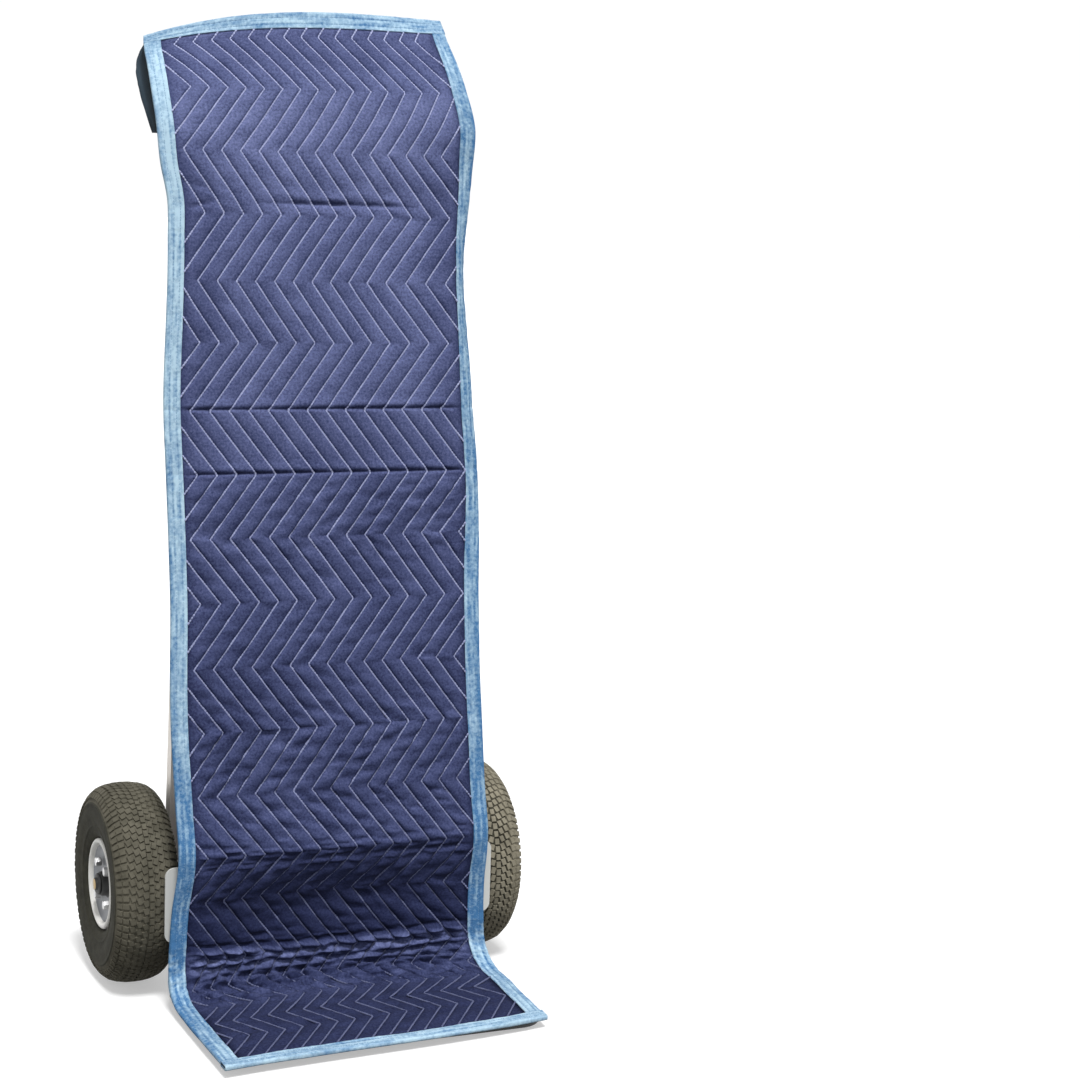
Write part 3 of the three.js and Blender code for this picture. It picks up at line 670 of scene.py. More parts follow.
def grid_faces(index: Array, flip: bool = False) -> list[list[int]]:
    """Faces of a grid of corner numbers, where corners that are shared fall away.

    Args:
        index: corner numbers, by row and column.
        flip: whether the faces turn the other way.

    Returns:
        Corner numbers of each face.
    """
    ring = [index[:-1, :-1], index[1:, :-1], index[1:, 1:], index[:-1, 1:]]
    faces = [list(dict.fromkeys(quad)) for quad in np.stack(ring, axis=-1).reshape(-1, 4).tolist()]
    return [face[::-1] if flip else face for face in faces if len(face) > 2]


def shell_faces(front: Array, behind: int, flip: bool = False) -> list[list[int]]:
    """Faces of two like grids and of the rim between them.

    Args:
        front: corner numbers of the first grid.
        behind: how much higher the numbers of the second grid are.
        flip: whether the faces turn the other way.

    Returns:
        Corner numbers of each face.
    """
    rim = np.concatenate([front[0, :-1], front[:-1, -1], front[-1, :0:-1], front[:0:-1, 0], front[0, :1]])
    return (grid_faces(front, flip) + grid_faces(front + behind, not flip)
            + grid_faces(np.stack([rim, rim + behind]), flip))


def closed_rings(rings: Array, capped: bool = True) -> list[list[int]]:
    """Faces through a stack of closed rings of equal size.

    Args:
        rings: corner numbers, one row a ring.
        capped: whether the first and last rings are closed with a face.

    Returns:
        Corner numbers of each face.
    """
    faces = grid_faces(np.concatenate([rings, rings[:, :1]], axis=1))
    if capped:
        faces += [rings[0].tolist(), rings[-1][::-1].tolist()]
    return faces


class Nodes:
    """Small helper that adds nodes to a tree and links them by socket name."""

    GREEN_POWER, BLUE_POWER = 0.96, 0.8

    def __init__(self, tree: NodeTree) -> None:
        """Keeps the tree that nodes are added to."""
        self.tree = tree

    def feed(self, node: Node, inputs: dict[str | int, object]) -> None:
        """Sets or links the inputs of a node.

        Args:
            node: the node.
            inputs: a value or an output socket for each named or numbered input.
        """
        for name, value in inputs.items():
            if isinstance(value, NodeSocket):
                self.tree.links.new(value, node.inputs[name])
            else:
                node.inputs[name].default_value = value

    def add(self, kind: str, inputs: dict[str | int, object] | None = None, **settings: object) -> Node:
        """Adds a node.

        Args:
            kind: the node's type name.
            inputs: a value or an output socket for each named or numbered input.
            settings: the node's own properties.

        Returns:
            The new node.
        """
        node = self.tree.nodes.new(kind)
        for name, value in settings.items():
            setattr(node, name, value)
        self.feed(node, inputs or {})
        return node

    def out(self, kind: str, inputs: dict[str | int, object] | None = None,
            **settings: object) -> NodeSocket:
        """First output of a new node, with the arguments of add."""
        return self.add(kind, inputs, **settings).outputs[0]

    def math(self, operation: str, first: object, second: object = 0.0) -> NodeSocket:
        """Result of a Math node on two values or sockets."""
        return self.out("ShaderNodeMath", {0: first, 1: second}, operation=operation)

    def raised(self, base: object, value: object, factor: object) -> NodeSocket:
        """Base with a value added that is scaled by a factor."""
        return self.math("ADD", self.math("MULTIPLY", value, factor), base)

    def mix(self, factor: object, first: object, second: object) -> NodeSocket:
        """Colour between two colours."""
        return self.add("ShaderNodeMix", {0: factor, 6: first, 7: second}, data_type="RGBA").outputs[2]

    def ramp(self, value: NodeSocket, low: object, high: object) -> NodeSocket:
        """Value stretched so that low becomes 0 and high becomes 1."""
        return self.out("ShaderNodeMapRange", {0: value, 1: low, 2: high})

    def noise(self, place: NodeSocket, scale: object, detail: float, roughness: float = 0.5,
              distortion: float = 0.0) -> NodeSocket:
        """Value of a noise texture at a place."""
        return self.out("ShaderNodeTexNoise", {"Vector": place, "Scale": scale, "Detail": detail,
                                               "Roughness": roughness, "Distortion": distortion})

    def shade_by_tone(self, colour: NodeSocket, tone: NodeSocket) -> NodeSocket:
        """Colour scaled by a tone of painted light and shade, where deeper painted shade is a little bluer.

        Args:
            colour: the colour.
            tone: the tone.

        Returns:
            The scaled colour.
        """
        green, blue = (self.math("POWER", tone, power) for power in (self.GREEN_POWER, self.BLUE_POWER))
        shade_scale = self.out("ShaderNodeCombineXYZ", {0: tone, 1: green, 2: blue})
        return self.out("ShaderNodeVectorMath", {0: colour, 1: shade_scale}, operation="MULTIPLY")

    def tone(self) -> NodeSocket:
        """Tone attribute of the piece."""
        return self.add("ShaderNodeAttribute", attribute_name=TONE_NAME).outputs["Fac"]

    def object_place(self) -> NodeSocket:
        """Object coordinates."""
        return self.add("ShaderNodeTexCoord").outputs["Object"]

    def effect(self, group: NodeTree, place: NodeSocket, **values: object) -> bpy.types.NodeOutputs:
        """Outputs of a shared effect, placed in the tree with its own values."""
        return self.add("ShaderNodeGroup", {"Vector": place, **values}, node_tree=group).outputs

    def bump(self, shader: Node, height: NodeSocket, distance: float, strength: float) -> None:
        """Feeds a height to a shader's normal."""
        made = self.out("ShaderNodeBump", {"Height": height, "Distance": distance, "Strength": strength})
        self.feed(shader, {"Normal": made})


def new_tree(name: str, kind: str, inputs: dict[str, str],
             outputs: dict[str, str]) -> tuple[Nodes, bpy.types.NodeOutputs, Node]:
    """Node group with named inputs and outputs.

    Args:
        name: name of the group.
        kind: type name of its tree.
        inputs: socket kind for each input.
        outputs: socket kind for each output.

    Returns:
        A helper on the group, its inputs as sockets to link from, and its output node.
    """
    tree = bpy.data.node_groups.new(name, kind)
    for way, sockets in (("INPUT", inputs), ("OUTPUT", outputs)):
        for label, socket_kind in sockets.items():
            tree.interface.new_socket(label, in_out=way, socket_type=f"NodeSocket{socket_kind}")
    entry, leave = tree.nodes.new("NodeGroupInput"), tree.nodes.new("NodeGroupOutput")
    return Nodes(tree), entry.outputs, leave


class Effects:
    """Shader groups that several finishes share."""

    def __init__(self) -> None:
        """Builds each group once."""
        self.weave = self._weave()
        self.wear = self._wear()
        self.grain = self._grain()

    @staticmethod
    def _weave() -> NodeTree:
        """Crossing threads with mottled yarn.

        Returns:
            A group that puts out a height and a mottle value.
        """
        nodes, entry, leave = new_tree(
            "Woven Yarn", "ShaderNodeTree",
            {"Vector": "Vector", "Threads": "Float", "Mottle": "Float", "Crumple": "Float"},
            {"Height": "Float", "Mottle": "Float"})
        place = entry["Vector"]
        scaled = nodes.out("ShaderNodeVectorMath", {0: place, "Scale": entry["Threads"]}, operation="SCALE")
        parts = nodes.add("ShaderNodeSeparateXYZ", {0: scaled}).outputs
        warp, weft = (nodes.math("SINE", nodes.math("MULTIPLY", parts[i], FULL_TURN)) for i in (0, 1))
        fleck = nodes.noise(place, entry["Mottle"], 4.0, roughness=0.72)
        cloud = nodes.noise(place, 30.0, 3.0)
        crease = nodes.noise(place, 95.0, 3.0, distortion=0.6)
        woven = nodes.raised(fleck, nodes.math("MULTIPLY", warp, weft), 0.5)
        mottle = nodes.raised(nodes.math("MULTIPLY", fleck, 0.78), cloud, 0.22)
        nodes.feed(leave, {"Height": nodes.raised(woven, crease, entry["Crumple"]),
                           "Mottle": nodes.ramp(mottle, 0.36, 0.64)})
        return nodes.tree

    @staticmethod
    def _wear() -> NodeTree:
        """Scuffs and dust.

        Returns:
            A group that puts out a mask of worn patches and a mask of fine marks.
        """
        nodes, entry, leave = new_tree(
            "Scuffs And Dust", "ShaderNodeTree",
            {"Vector": "Vector", "Scale": "Float", "Cover": "Float"}, {"Worn": "Float", "Marks": "Float"})
        patch = nodes.noise(entry["Vector"], entry["Scale"], 6.0, roughness=0.65)
        nodes.feed(leave, {"Worn": nodes.ramp(patch, entry["Cover"], 0.85),
                           "Marks": nodes.noise(entry["Vector"], 420.0, 2.0)})
        return nodes.tree

    @staticmethod
    def _grain() -> NodeTree:
        """Fine drawn lines along a metal profile.

        Returns:
            A group that puts out one value.
        """
        nodes, entry, leave = new_tree(
            "Drawn Metal", "ShaderNodeTree",
            {"Vector": "Vector", "Stretch": "Vector"}, {"Lines": "Float"})
        drawn = nodes.out("ShaderNodeVectorMath", {0: entry["Vector"], 1: entry["Stretch"]},
                          operation="MULTIPLY")
        nodes.feed(leave, {"Lines": nodes.noise(drawn, 1.0, 4.0)})
        return nodes.tree


@dataclass(frozen=True)
class Finish:
    """Base of the finishes: a named material with a Principled shader."""

    name: str
    colour: Colour
    roughness: float

    def material(self, effects: Effects) -> Material:
        """Builds the material.

        Args:
            effects: shared shader groups.

        Returns:
            The finished material.
        """
        material = bpy.data.materials.new(self.name)
        material.use_nodes = True
        nodes = Nodes(material.node_tree)
        shader = material.node_tree.nodes["Principled BSDF"]
        nodes.feed(shader, {"Base Color": self.colour, "Roughness": self.roughness})
        self.dress(nodes, shader, effects)
        return material

    def dress(self, nodes: Nodes, shader: Node, effects: Effects) -> None:
        """Adds what is special to the finish.

        Args:
            nodes: helper on the material's nodes.
            shader: its Principled shader.
            effects: shared shader groups.
        """


class Toning(Enum):
    """What a cloth's tone attribute does."""

    SCALE = "scales the colour"
    BLEND = "blends from the deep colour to the light one"


@dataclass(frozen=True)
class ClothFinish(Finish):
    """Woven cloth with mottled yarn, whose tone follows an attribute."""

    light: Colour
    toning: Toning
    threads: float = 700.0
    mottle: float = 300.0
    crumple: float = 1.0
    weave_depth: float = 0.0005
    weave_strength: float = 0.7
    sheen: float = 0.02
    sheen_roughness: float = 0.5
    gloss: float = 0.04
    fleck_spread: float = 0.5

    def dress(self, nodes: Nodes, shader: Node, effects: Effects) -> None:
        """Adds the weave and the tone, whose attribute carries painted light and shade.

        Args:
            nodes: helper on the material's nodes.
            shader: its Principled shader.
            effects: shared shader groups.
        """
        place = nodes.out("ShaderNodeUVMap", uv_map=UV_NAME)
        yarn = nodes.effect(effects.weave, place, Threads=self.threads, Mottle=self.mottle,
                            Crumple=self.crumple)
        blend, tone = yarn["Mottle"], nodes.tone()
        if self.toning is Toning.BLEND:
            blend = nodes.raised(tone, nodes.math("SUBTRACT", blend, 0.5), self.fleck_spread)
        colour = nodes.mix(blend, self.colour, self.light)
        if self.toning is Toning.SCALE:
            colour = nodes.shade_by_tone(colour, tone)
        nodes.feed(shader, {"Base Color": colour, "Sheen Weight": self.sheen,
                            "Sheen Roughness": self.sheen_roughness, "Specular IOR Level": self.gloss})
        nodes.bump(shader, yarn["Height"], self.weave_depth, self.weave_strength)


@dataclass(frozen=True)
class ThreadFinish(Finish):
    """Twisted sewing thread with small changes of tone along it."""

    light: Colour
    toned: bool = False
    fleck_scale: float = 900.0
    fleck_ramp: Ease = (0.35, 0.65)
    twist_depth: float = 0.0003
    twist_strength: float = 0.5

    def dress(self, nodes: Nodes, shader: Node, effects: Effects) -> None:
        """Adds the flecks and the tone.

        Args:
            nodes: helper on the material's nodes.
            shader: its Principled shader.
            effects: shared shader groups.
        """
        fleck = nodes.noise(nodes.object_place(), self.fleck_scale, 2.0)
        colour = nodes.mix(nodes.ramp(fleck, *self.fleck_ramp), self.colour, self.light)
        # The tone attribute carries the thread's painted shade
        if self.toned:
            colour = nodes.shade_by_tone(colour, nodes.tone())
        nodes.feed(shader, {"Base Color": colour})
        nodes.bump(shader, fleck, self.twist_depth, self.twist_strength)


@dataclass(frozen=True)
class MetalFinish(Finish):
    """Bare or painted metal with drawn lines, scuffs and dust."""

    worn_colour: Colour
    metallic: float = 0.0
    stretch: tuple[float, float, float] = (900.0, 900.0, 14.0)
    wear_scale: float = 30.0
    wear_cover: float = 0.62
    lines_gloss: Ease = (-0.1, 0.25)
    lines_depth: float = 0.0001
    lines_strength: float = 0.4

    def dress(self, nodes: Nodes, shader: Node, effects: Effects) -> None:
        """Adds the drawn lines and the wear.

        Args:
            nodes: helper on the material's nodes.
            shader: its Principled shader.
            effects: shared shader groups.
        """
        place = nodes.object_place()
        lines = nodes.effect(effects.grain, place, Stretch=self.stretch)["Lines"]
        wear = nodes.effect(effects.wear, place, Scale=self.wear_scale, Cover=self.wear_cover)
        least, spread = self.lines_gloss
        nodes.feed(shader, {"Base Color": nodes.mix(wear["Worn"], self.colour, self.worn_colour),
                            "Roughness": nodes.raised(self.roughness + least, lines, spread),
                            "Metallic": self.metallic})
        nodes.bump(shader, lines, self.lines_depth, self.lines_strength)


@dataclass(frozen=True)
class RubberFinish(Finish):
    """Tyre rubber with dust in its grain."""

    dust: Colour
    dust_scale: float = 45.0
    dust_cover: float = 0.35
    marks_gloss: Ease = (-0.15, 0.3)
    marks_depth: float = 0.0004
    marks_strength: float = 0.5
    gloss: float = 0.2

    def dress(self, nodes: Nodes, shader: Node, effects: Effects) -> None:
        """Adds the dust and the marks.

        Args:
            nodes: helper on the material's nodes.
            shader: its Principled shader.
            effects: shared shader groups.
        """
        wear = nodes.effect(effects.wear, nodes.object_place(), Scale=self.dust_scale, Cover=self.dust_cover)
        least, spread = self.marks_gloss
        nodes.feed(shader, {"Base Color": nodes.mix(wear["Worn"], self.colour, self.dust),
                            "Roughness": nodes.raised(self.roughness + least, wear["Marks"], spread),
                            "Specular IOR Level": self.gloss})
        nodes.bump(shader, wear["Marks"], self.marks_depth, self.marks_strength)


# The quilted cloth's colour is scaled by its tone attribute, which carries painted light and shade
QUILT = ClothFinish("Quilted Blue Cloth", (0.042, 0.052, 0.128, 1), 0.92, (0.125, 0.147, 0.3, 1),
                    Toning.SCALE, crumple=2.6)
# The tape blends between its deep and light blue by a tone that carries its paleness and painted light and
# shade
TAPE = ClothFinish("Sky Blue Tape", (0.062, 0.18, 0.37, 1), 0.88, (0.46, 0.64, 0.765, 1),
                   Toning.BLEND, threads=520.0, mottle=240.0, crumple=1.6)
# The pocket blends from its black to its light colour by a tone that carries painted light and shade
POCKET = ClothFinish("Black Pocket Cloth", (0.008, 0.012, 0.016, 1), 0.9, (0.072, 0.108, 0.144, 1),
                     Toning.BLEND, threads=600.0, fleck_spread=0.2)
QUILT_THREAD = ThreadFinish("Pale Quilting Thread", (0.3, 0.33, 0.54, 1), 0.7, (0.46, 0.5, 0.73, 1),
                            toned=True)
TAPE_THREAD = ThreadFinish("Blue Binding Thread", (0.1, 0.22, 0.4, 1), 0.6, (0.2, 0.36, 0.56, 1))
ALUMINIUM = MetalFinish("Satin Aluminium", (0.72, 0.68, 0.63, 1), 0.4, (0.58, 0.55, 0.51, 1), metallic=0.5)
WING_METAL = MetalFinish("Grey Wing Plate", (0.57, 0.575, 0.55, 1), 0.5, (0.49, 0.485, 0.455, 1),
                         stretch=(40.0, 900.0, 900.0))
DARK_STEEL = MetalFinish("Dark Cross Bar Paint", (0.055, 0.057, 0.06, 1), 0.5, (0.12, 0.12, 0.12, 1),
                         stretch=(14.0, 900.0, 900.0))
BLACK_STEEL = MetalFinish("Black Plate Paint", (0.012, 0.012, 0.014, 1), 0.5, (0.06, 0.06, 0.06, 1),
                          wear_cover=0.66)
RIM_DISH = MetalFinish("Grey Rim Paint", (0.3, 0.31, 0.33, 1), 0.45, (0.22, 0.22, 0.23, 1), metallic=0.2,
                       stretch=(60.0, 60.0, 60.0))
RIM_LIP = MetalFinish("Pale Rim Lip", (0.86, 0.85, 0.81, 1), 0.4, (0.66, 0.65, 0.62, 1),
                      stretch=(60.0, 60.0, 60.0))
HUB_BLACK = MetalFinish("Black Hub", (0.01, 0.01, 0.01, 1), 0.55, (0.05, 0.045, 0.04, 1))
BRASS = MetalFinish("Dull Brass", (0.36, 0.25, 0.1, 1), 0.4, (0.18, 0.13, 0.07, 1), metallic=0.9)
STEEL = MetalFinish("Zinc Steel", (0.6, 0.6, 0.6, 1), 0.35, (0.45, 0.45, 0.45, 1), metallic=0.9)
RUBBER = RubberFinish("Tyre Rubber", (0.026, 0.0255, 0.019, 1), 0.85, (0.07, 0.067, 0.049, 1))
TREAD_RUBBER = RubberFinish("Dusty Tread Rubber", (0.073, 0.068, 0.05, 1), 0.85, (0.157, 0.146, 0.111, 1))
# Lighter copy of the tread rubber for the right wheel: painted light on that tyre
LIT_TREAD_RUBBER = RubberFinish("Painted Lit Tread Rubber", (0.155, 0.141, 0.104, 1), 0.85, (0.318, 0.29, 0.22, 1))


@dataclass
class Materials:
    """Every finished material of the object."""

    effects: Effects
    made: dict[str, Material] = field(default_factory=dict)

    def get(self, finish: Finish) -> Material:
        """Material of a finish, built on first use.

        Args:
            finish: the finish.

        Returns:
            Its material.
        """
        if finish.name not in self.made:
            self.made[finish.name] = finish.material(self.effects)
        return self.made[finish.name]


class Repeats:
    """Geometry node trees for what repeats: stitches along a line, and blocks on a surface."""

    def __init__(self) -> None:
        """Builds each tree once."""
        self.stitches = self._stitches()
        self.blocks = self._blocks()

    @staticmethod
    def _stitches() -> NodeTree:
        """Separate stitches along the lines of a mesh.

        Returns:
            The tree.
        """
        nodes, entry, leave = new_tree(
            "Sewn Stitches", "GeometryNodeTree",
            {"Lines": "Geometry", "Stitch Pitch": "Float", "Stitch Length": "Float", "Thread Radius": "Float",
             "Seed": "Int", "Thread": "Material"},
            {"Geometry": "Geometry"})
        lines = nodes.out("GeometryNodeMeshToCurve", {"Mesh": entry["Lines"]})
        spaced = nodes.out("GeometryNodeResampleCurve", {"Curve": lines, "Length": entry["Stitch Pitch"]},
                           mode="LENGTH")
        points = nodes.add("GeometryNodeCurveToPoints", {"Curve": spaced}, mode="EVALUATED").outputs
        along = nodes.out("FunctionNodeAlignRotationToVector", {"Vector": points["Tangent"]}, axis="Z")
        stitch = nodes.out("GeometryNodeMeshUVSphere", {"Segments": 6, "Rings": 3, "Radius": 1.0})
        half = nodes.math("MULTIPLY", entry["Stitch Length"], 0.5)
        radius = entry["Thread Radius"]
        size = nodes.out("ShaderNodeCombineXYZ", {0: radius, 1: radius, 2: half})
        shaped = nodes.out("GeometryNodeTransform", {"Geometry": stitch, "Scale": size})
        vary = nodes.add("FunctionNodeRandomValue", {2: 0.86, 3: 1.12, "Seed": entry["Seed"]},
                         data_type="FLOAT").outputs[1]
        laid = nodes.out("GeometryNodeInstanceOnPoints",
                         {"Points": points[0], "Instance": shaped, "Rotation": along, "Scale": vary})
        real = nodes.out("GeometryNodeRealizeInstances", {0: laid})
        smooth = nodes.out("GeometryNodeSetShadeSmooth", {0: real})
        nodes.feed(leave, {0: nodes.out("GeometryNodeSetMaterial",
                                        {"Geometry": smooth, "Material": entry["Thread"]})})
        return nodes.tree

    @staticmethod
    def _blocks() -> NodeTree:
        """Tapered blocks on points that carry an outward and a lengthwise direction.

        Returns:
            The tree.
        """
        nodes, entry, leave = new_tree(
            "Set Blocks", "GeometryNodeTree",
            {"Places": "Geometry", "Corners": "Int", "Taper": "Float", "Size": "Vector", "Turn": "Float",
             "Spread": "Float", "Seed": "Int", "Finish": "Material"},
            {"Geometry": "Geometry"})
        outward, lengthwise = (
            nodes.out("GeometryNodeInputNamedAttribute", {"Name": name}, data_type="FLOAT_VECTOR")
            for name in ("outward", "lengthwise"))
        up = nodes.out("FunctionNodeAlignRotationToVector", {"Vector": outward}, axis="Z")
        turned = nodes.out("FunctionNodeAlignRotationToVector", {"Rotation": up, "Vector": lengthwise},
                           axis="Y", pivot_axis="Z")
        block = nodes.out("GeometryNodeMeshCone",
                          {"Vertices": entry["Corners"], "Side Segments": 1, "Radius Top": entry["Taper"],
                           "Radius Bottom": 1.0, "Depth": 1.0})
        spin = nodes.out("ShaderNodeCombineXYZ", {2: entry["Turn"]})
        square = nodes.out("GeometryNodeTransform", {"Geometry": block, "Rotation": spin})
        sized = nodes.out("GeometryNodeTransform", {"Geometry": square, "Scale": entry["Size"]})
        low, high = (nodes.math(sign, 1.0, entry["Spread"]) for sign in ("SUBTRACT", "ADD"))
        vary = nodes.add("FunctionNodeRandomValue", {2: low, 3: high, "Seed": entry["Seed"]},
                         data_type="FLOAT").outputs[1]
        laid = nodes.out("GeometryNodeInstanceOnPoints",
                         {"Points": entry["Places"], "Instance": sized, "Rotation": turned, "Scale": vary})
        real = nodes.out("GeometryNodeRealizeInstances", {0: laid})
        nodes.feed(leave, {0: nodes.out("GeometryNodeSetMaterial",
                                        {"Geometry": real, "Material": entry["Finish"]})})
        return nodes.tree

    @staticmethod
    def grow(name: str, carrier: Mesh, tree: NodeTree, values: dict[str, object]) -> Object:
        """Runs a tree on a mesh and keeps the result as a plain mesh.

        Args:
            name: name of the piece.
            carrier: lines or points that the tree works on.
            tree: the geometry node tree.
            values: value of each named input.

        Returns:
            The new object.
        """
        seed = add_object(f"{name}_places", carrier)
        modifier = seed.modifiers.new("Grow", "NODES")
        modifier.node_group = tree
        for item in tree.interface.items_tree:
            if item.in_out == "INPUT" and item.name in values:
                modifier[item.identifier] = values[item.name]
        graph = bpy.context.evaluated_depsgraph_get()
        mesh = bpy.data.meshes.new_from_object(seed.evaluated_get(graph))
        mesh.name = name
        seed.modifiers.remove(modifier)
        bpy.data.objects.remove(seed)
        return add_object(name, mesh)

    def sew(self, name: str, runs: Sequence[Array], pitch: float, length: float, radius: float,
            seed: int, thread: Material) -> Object:
        """Lays stitches along open lines.

        Args:
            name: name of the piece.
            runs: points of each line, in millimetres.
            pitch: distance between two stitches, in metres.
            length: length of a stitch, in metres.
            radius: radius of the thread, in metres.
            seed: seed of the small changes of size.
            thread: finish of the thread.

        Returns:
            The stitches as one piece.
        """
        edges, start = [], 0
        for run in runs:
            edges.extend((i, i + 1) for i in range(start, start + len(run) - 1))
            start += len(run)
        mesh = bpy.data.meshes.new(f"{name}_lines")
        mesh.from_pydata(to_frame(np.concatenate(runs)).tolist(), edges, [])
        return self.grow(name, mesh, self.stitches,
                         {"Stitch Pitch": pitch, "Stitch Length": length, "Thread Radius": radius,
                          "Seed": seed, "Thread": thread})

    def set_blocks(self, name: str, points: Array, outward: Array, lengthwise: Array,
                   **values: object) -> Object:
        """Sets blocks on loose points.

        Args:
            name: name of the piece.
            points: places in millimetres.
            outward: direction that a block stands out.
            lengthwise: direction of a block's length.
            values: the tree's other inputs.

        Returns:
            The blocks as one piece.
        """
        mesh = bpy.data.meshes.new(f"{name}_points")
        mesh.from_pydata(to_frame(points).tolist(), [], [])
        for label, vectors in (("outward", outward), ("lengthwise", lengthwise)):
            attribute = mesh.attributes.new(label, "FLOAT_VECTOR", "POINT")
            attribute.data.foreach_set("vector", vectors.astype(np.float32).ravel())
        return self.grow(name, mesh, self.blocks, values)


def register(piece: Object, node: str | None = None) -> None:
    """Tells the frame about a piece and reports it.

    Args:
        piece: the piece.
        node: CAD node that it replaces.
    """
    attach(piece, BODY)
    if node is not None:
        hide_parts(node)
    LOG.info("%s: %d faces", piece.name, len(piece.data.polygons))


@dataclass
class ClothTone:
    """Painted light and shade of the quilted cloth, as factors on its colour."""

    ridge_bow: float = 0.19
    ridge_rows: Spot = (15.9, 0.25)
    side_shade: float = 0.22
    side_ease: Ease = (120.0, 172.0)
    corner_shade: float = 0.22
    corner_ease: Ease = (150.0, 188.0)
    corner_rows: Spot = (2.9, 0.55)
    hem_shade: float = 0.4
    hem_reach: float = 5.0
    darkest_fold: float = 0.36
    fleck_shade: float = 0.4
    stitch_shade: float = 0.55
    stitch_level: float = 0.7
    rumple: Rumple = field(default_factory=lambda: Rumple(seed=5))

    CLOUD = Layer(0.08, 1 / 0.9, 70.0)
    FLECKS = (Layer(1.0, 0.06, 7.0), Layer(0.7, 0.11, 12.0, 5.0))
    # Direction that the painted light on the folds comes from: the front and above
    PAINTED_LIGHT_DIRECTION = (0.0, -0.5, 0.87)

    # Strength of the folds' painted shade and their lightest painted highlight: everywhere, and what the
    # lower area, the bend and the toe add
    FOLD_SHADES = (0.95, 0.2, 0.35, 0.1)
    LIGHTEST_FOLDS = (1.14, 0.18, 0.38, 0.18)

    def smooth(self, row: Array, x: Array, beside: Array) -> Array:
        """Painted shade of smooth cloth: lighter high up, darker in the fold's shadow and on the slope below
        it, on the toe, near the side edges, at the top right corner and in the shade beside the tapes, with a
        random cloud.

        Args:
            row: zigzag rows.
            x: flat sideways places.
            beside: distances from the tapes.

        Returns:
            Factors on the cloth's colour.
        """
        bow = self.ridge_bow * (x / HangingCloth.BOW_UNIT) ** 2
        tone = curve(PAINTED_SHADE_BY_ROW, row + bow * hump(row, *self.ridge_rows))
        tone *= 1 - self.side_shade * window(row, *UPPER_AREA) * smoothstep(*self.side_ease, np.abs(x))
        tone *= 1 - self.corner_shade * smoothstep(*self.corner_ease, x) * hump(row, *self.corner_rows)
        tone *= 1 - self.hem_shade * hump(beside, 0.0, self.hem_reach)
        return tone * (1 + self.rumple.layered(row, x, self.CLOUD))

    def worn(self, row: Array, x: Array, free: Array, lean: Array) -> Array:
        """Painted shade and highlight of small folds, from which way each corner faces: lighter facing up,
        darker facing down, more so in the crumpled bend and on the toe, with random flecks in the bend, and
        on the toe painted shade by the stitches and painted light on the puffs.

        Args:
            row: zigzag rows.
            x: flat sideways places.
            free: how far the cloth is from being held by a stitch, from 0 to 1.
            lean: how far each corner's normal leans from the smooth cloth's, one row each.

        Returns:
            Factors on the tone.
        """
        crumpled, toe = window(row, *CRUMPLED_AREA), smoothstep(*ON_TOE, row)
        areas = np.stack([np.ones_like(row), window(row, *LOWER_AREA), crumpled, toe])
        folds = (self.FOLD_SHADES @ areas) * (lean @ np.array(self.PAINTED_LIGHT_DIRECTION))
        worn = np.clip(1 + folds, self.darkest_fold, self.LIGHTEST_FOLDS @ areas)
        worn *= 1 + self.fleck_shade * crumpled * self.rumple.layered(row, x, *self.FLECKS)
        return worn * (1 + self.stitch_shade * toe * (free - self.stitch_level))


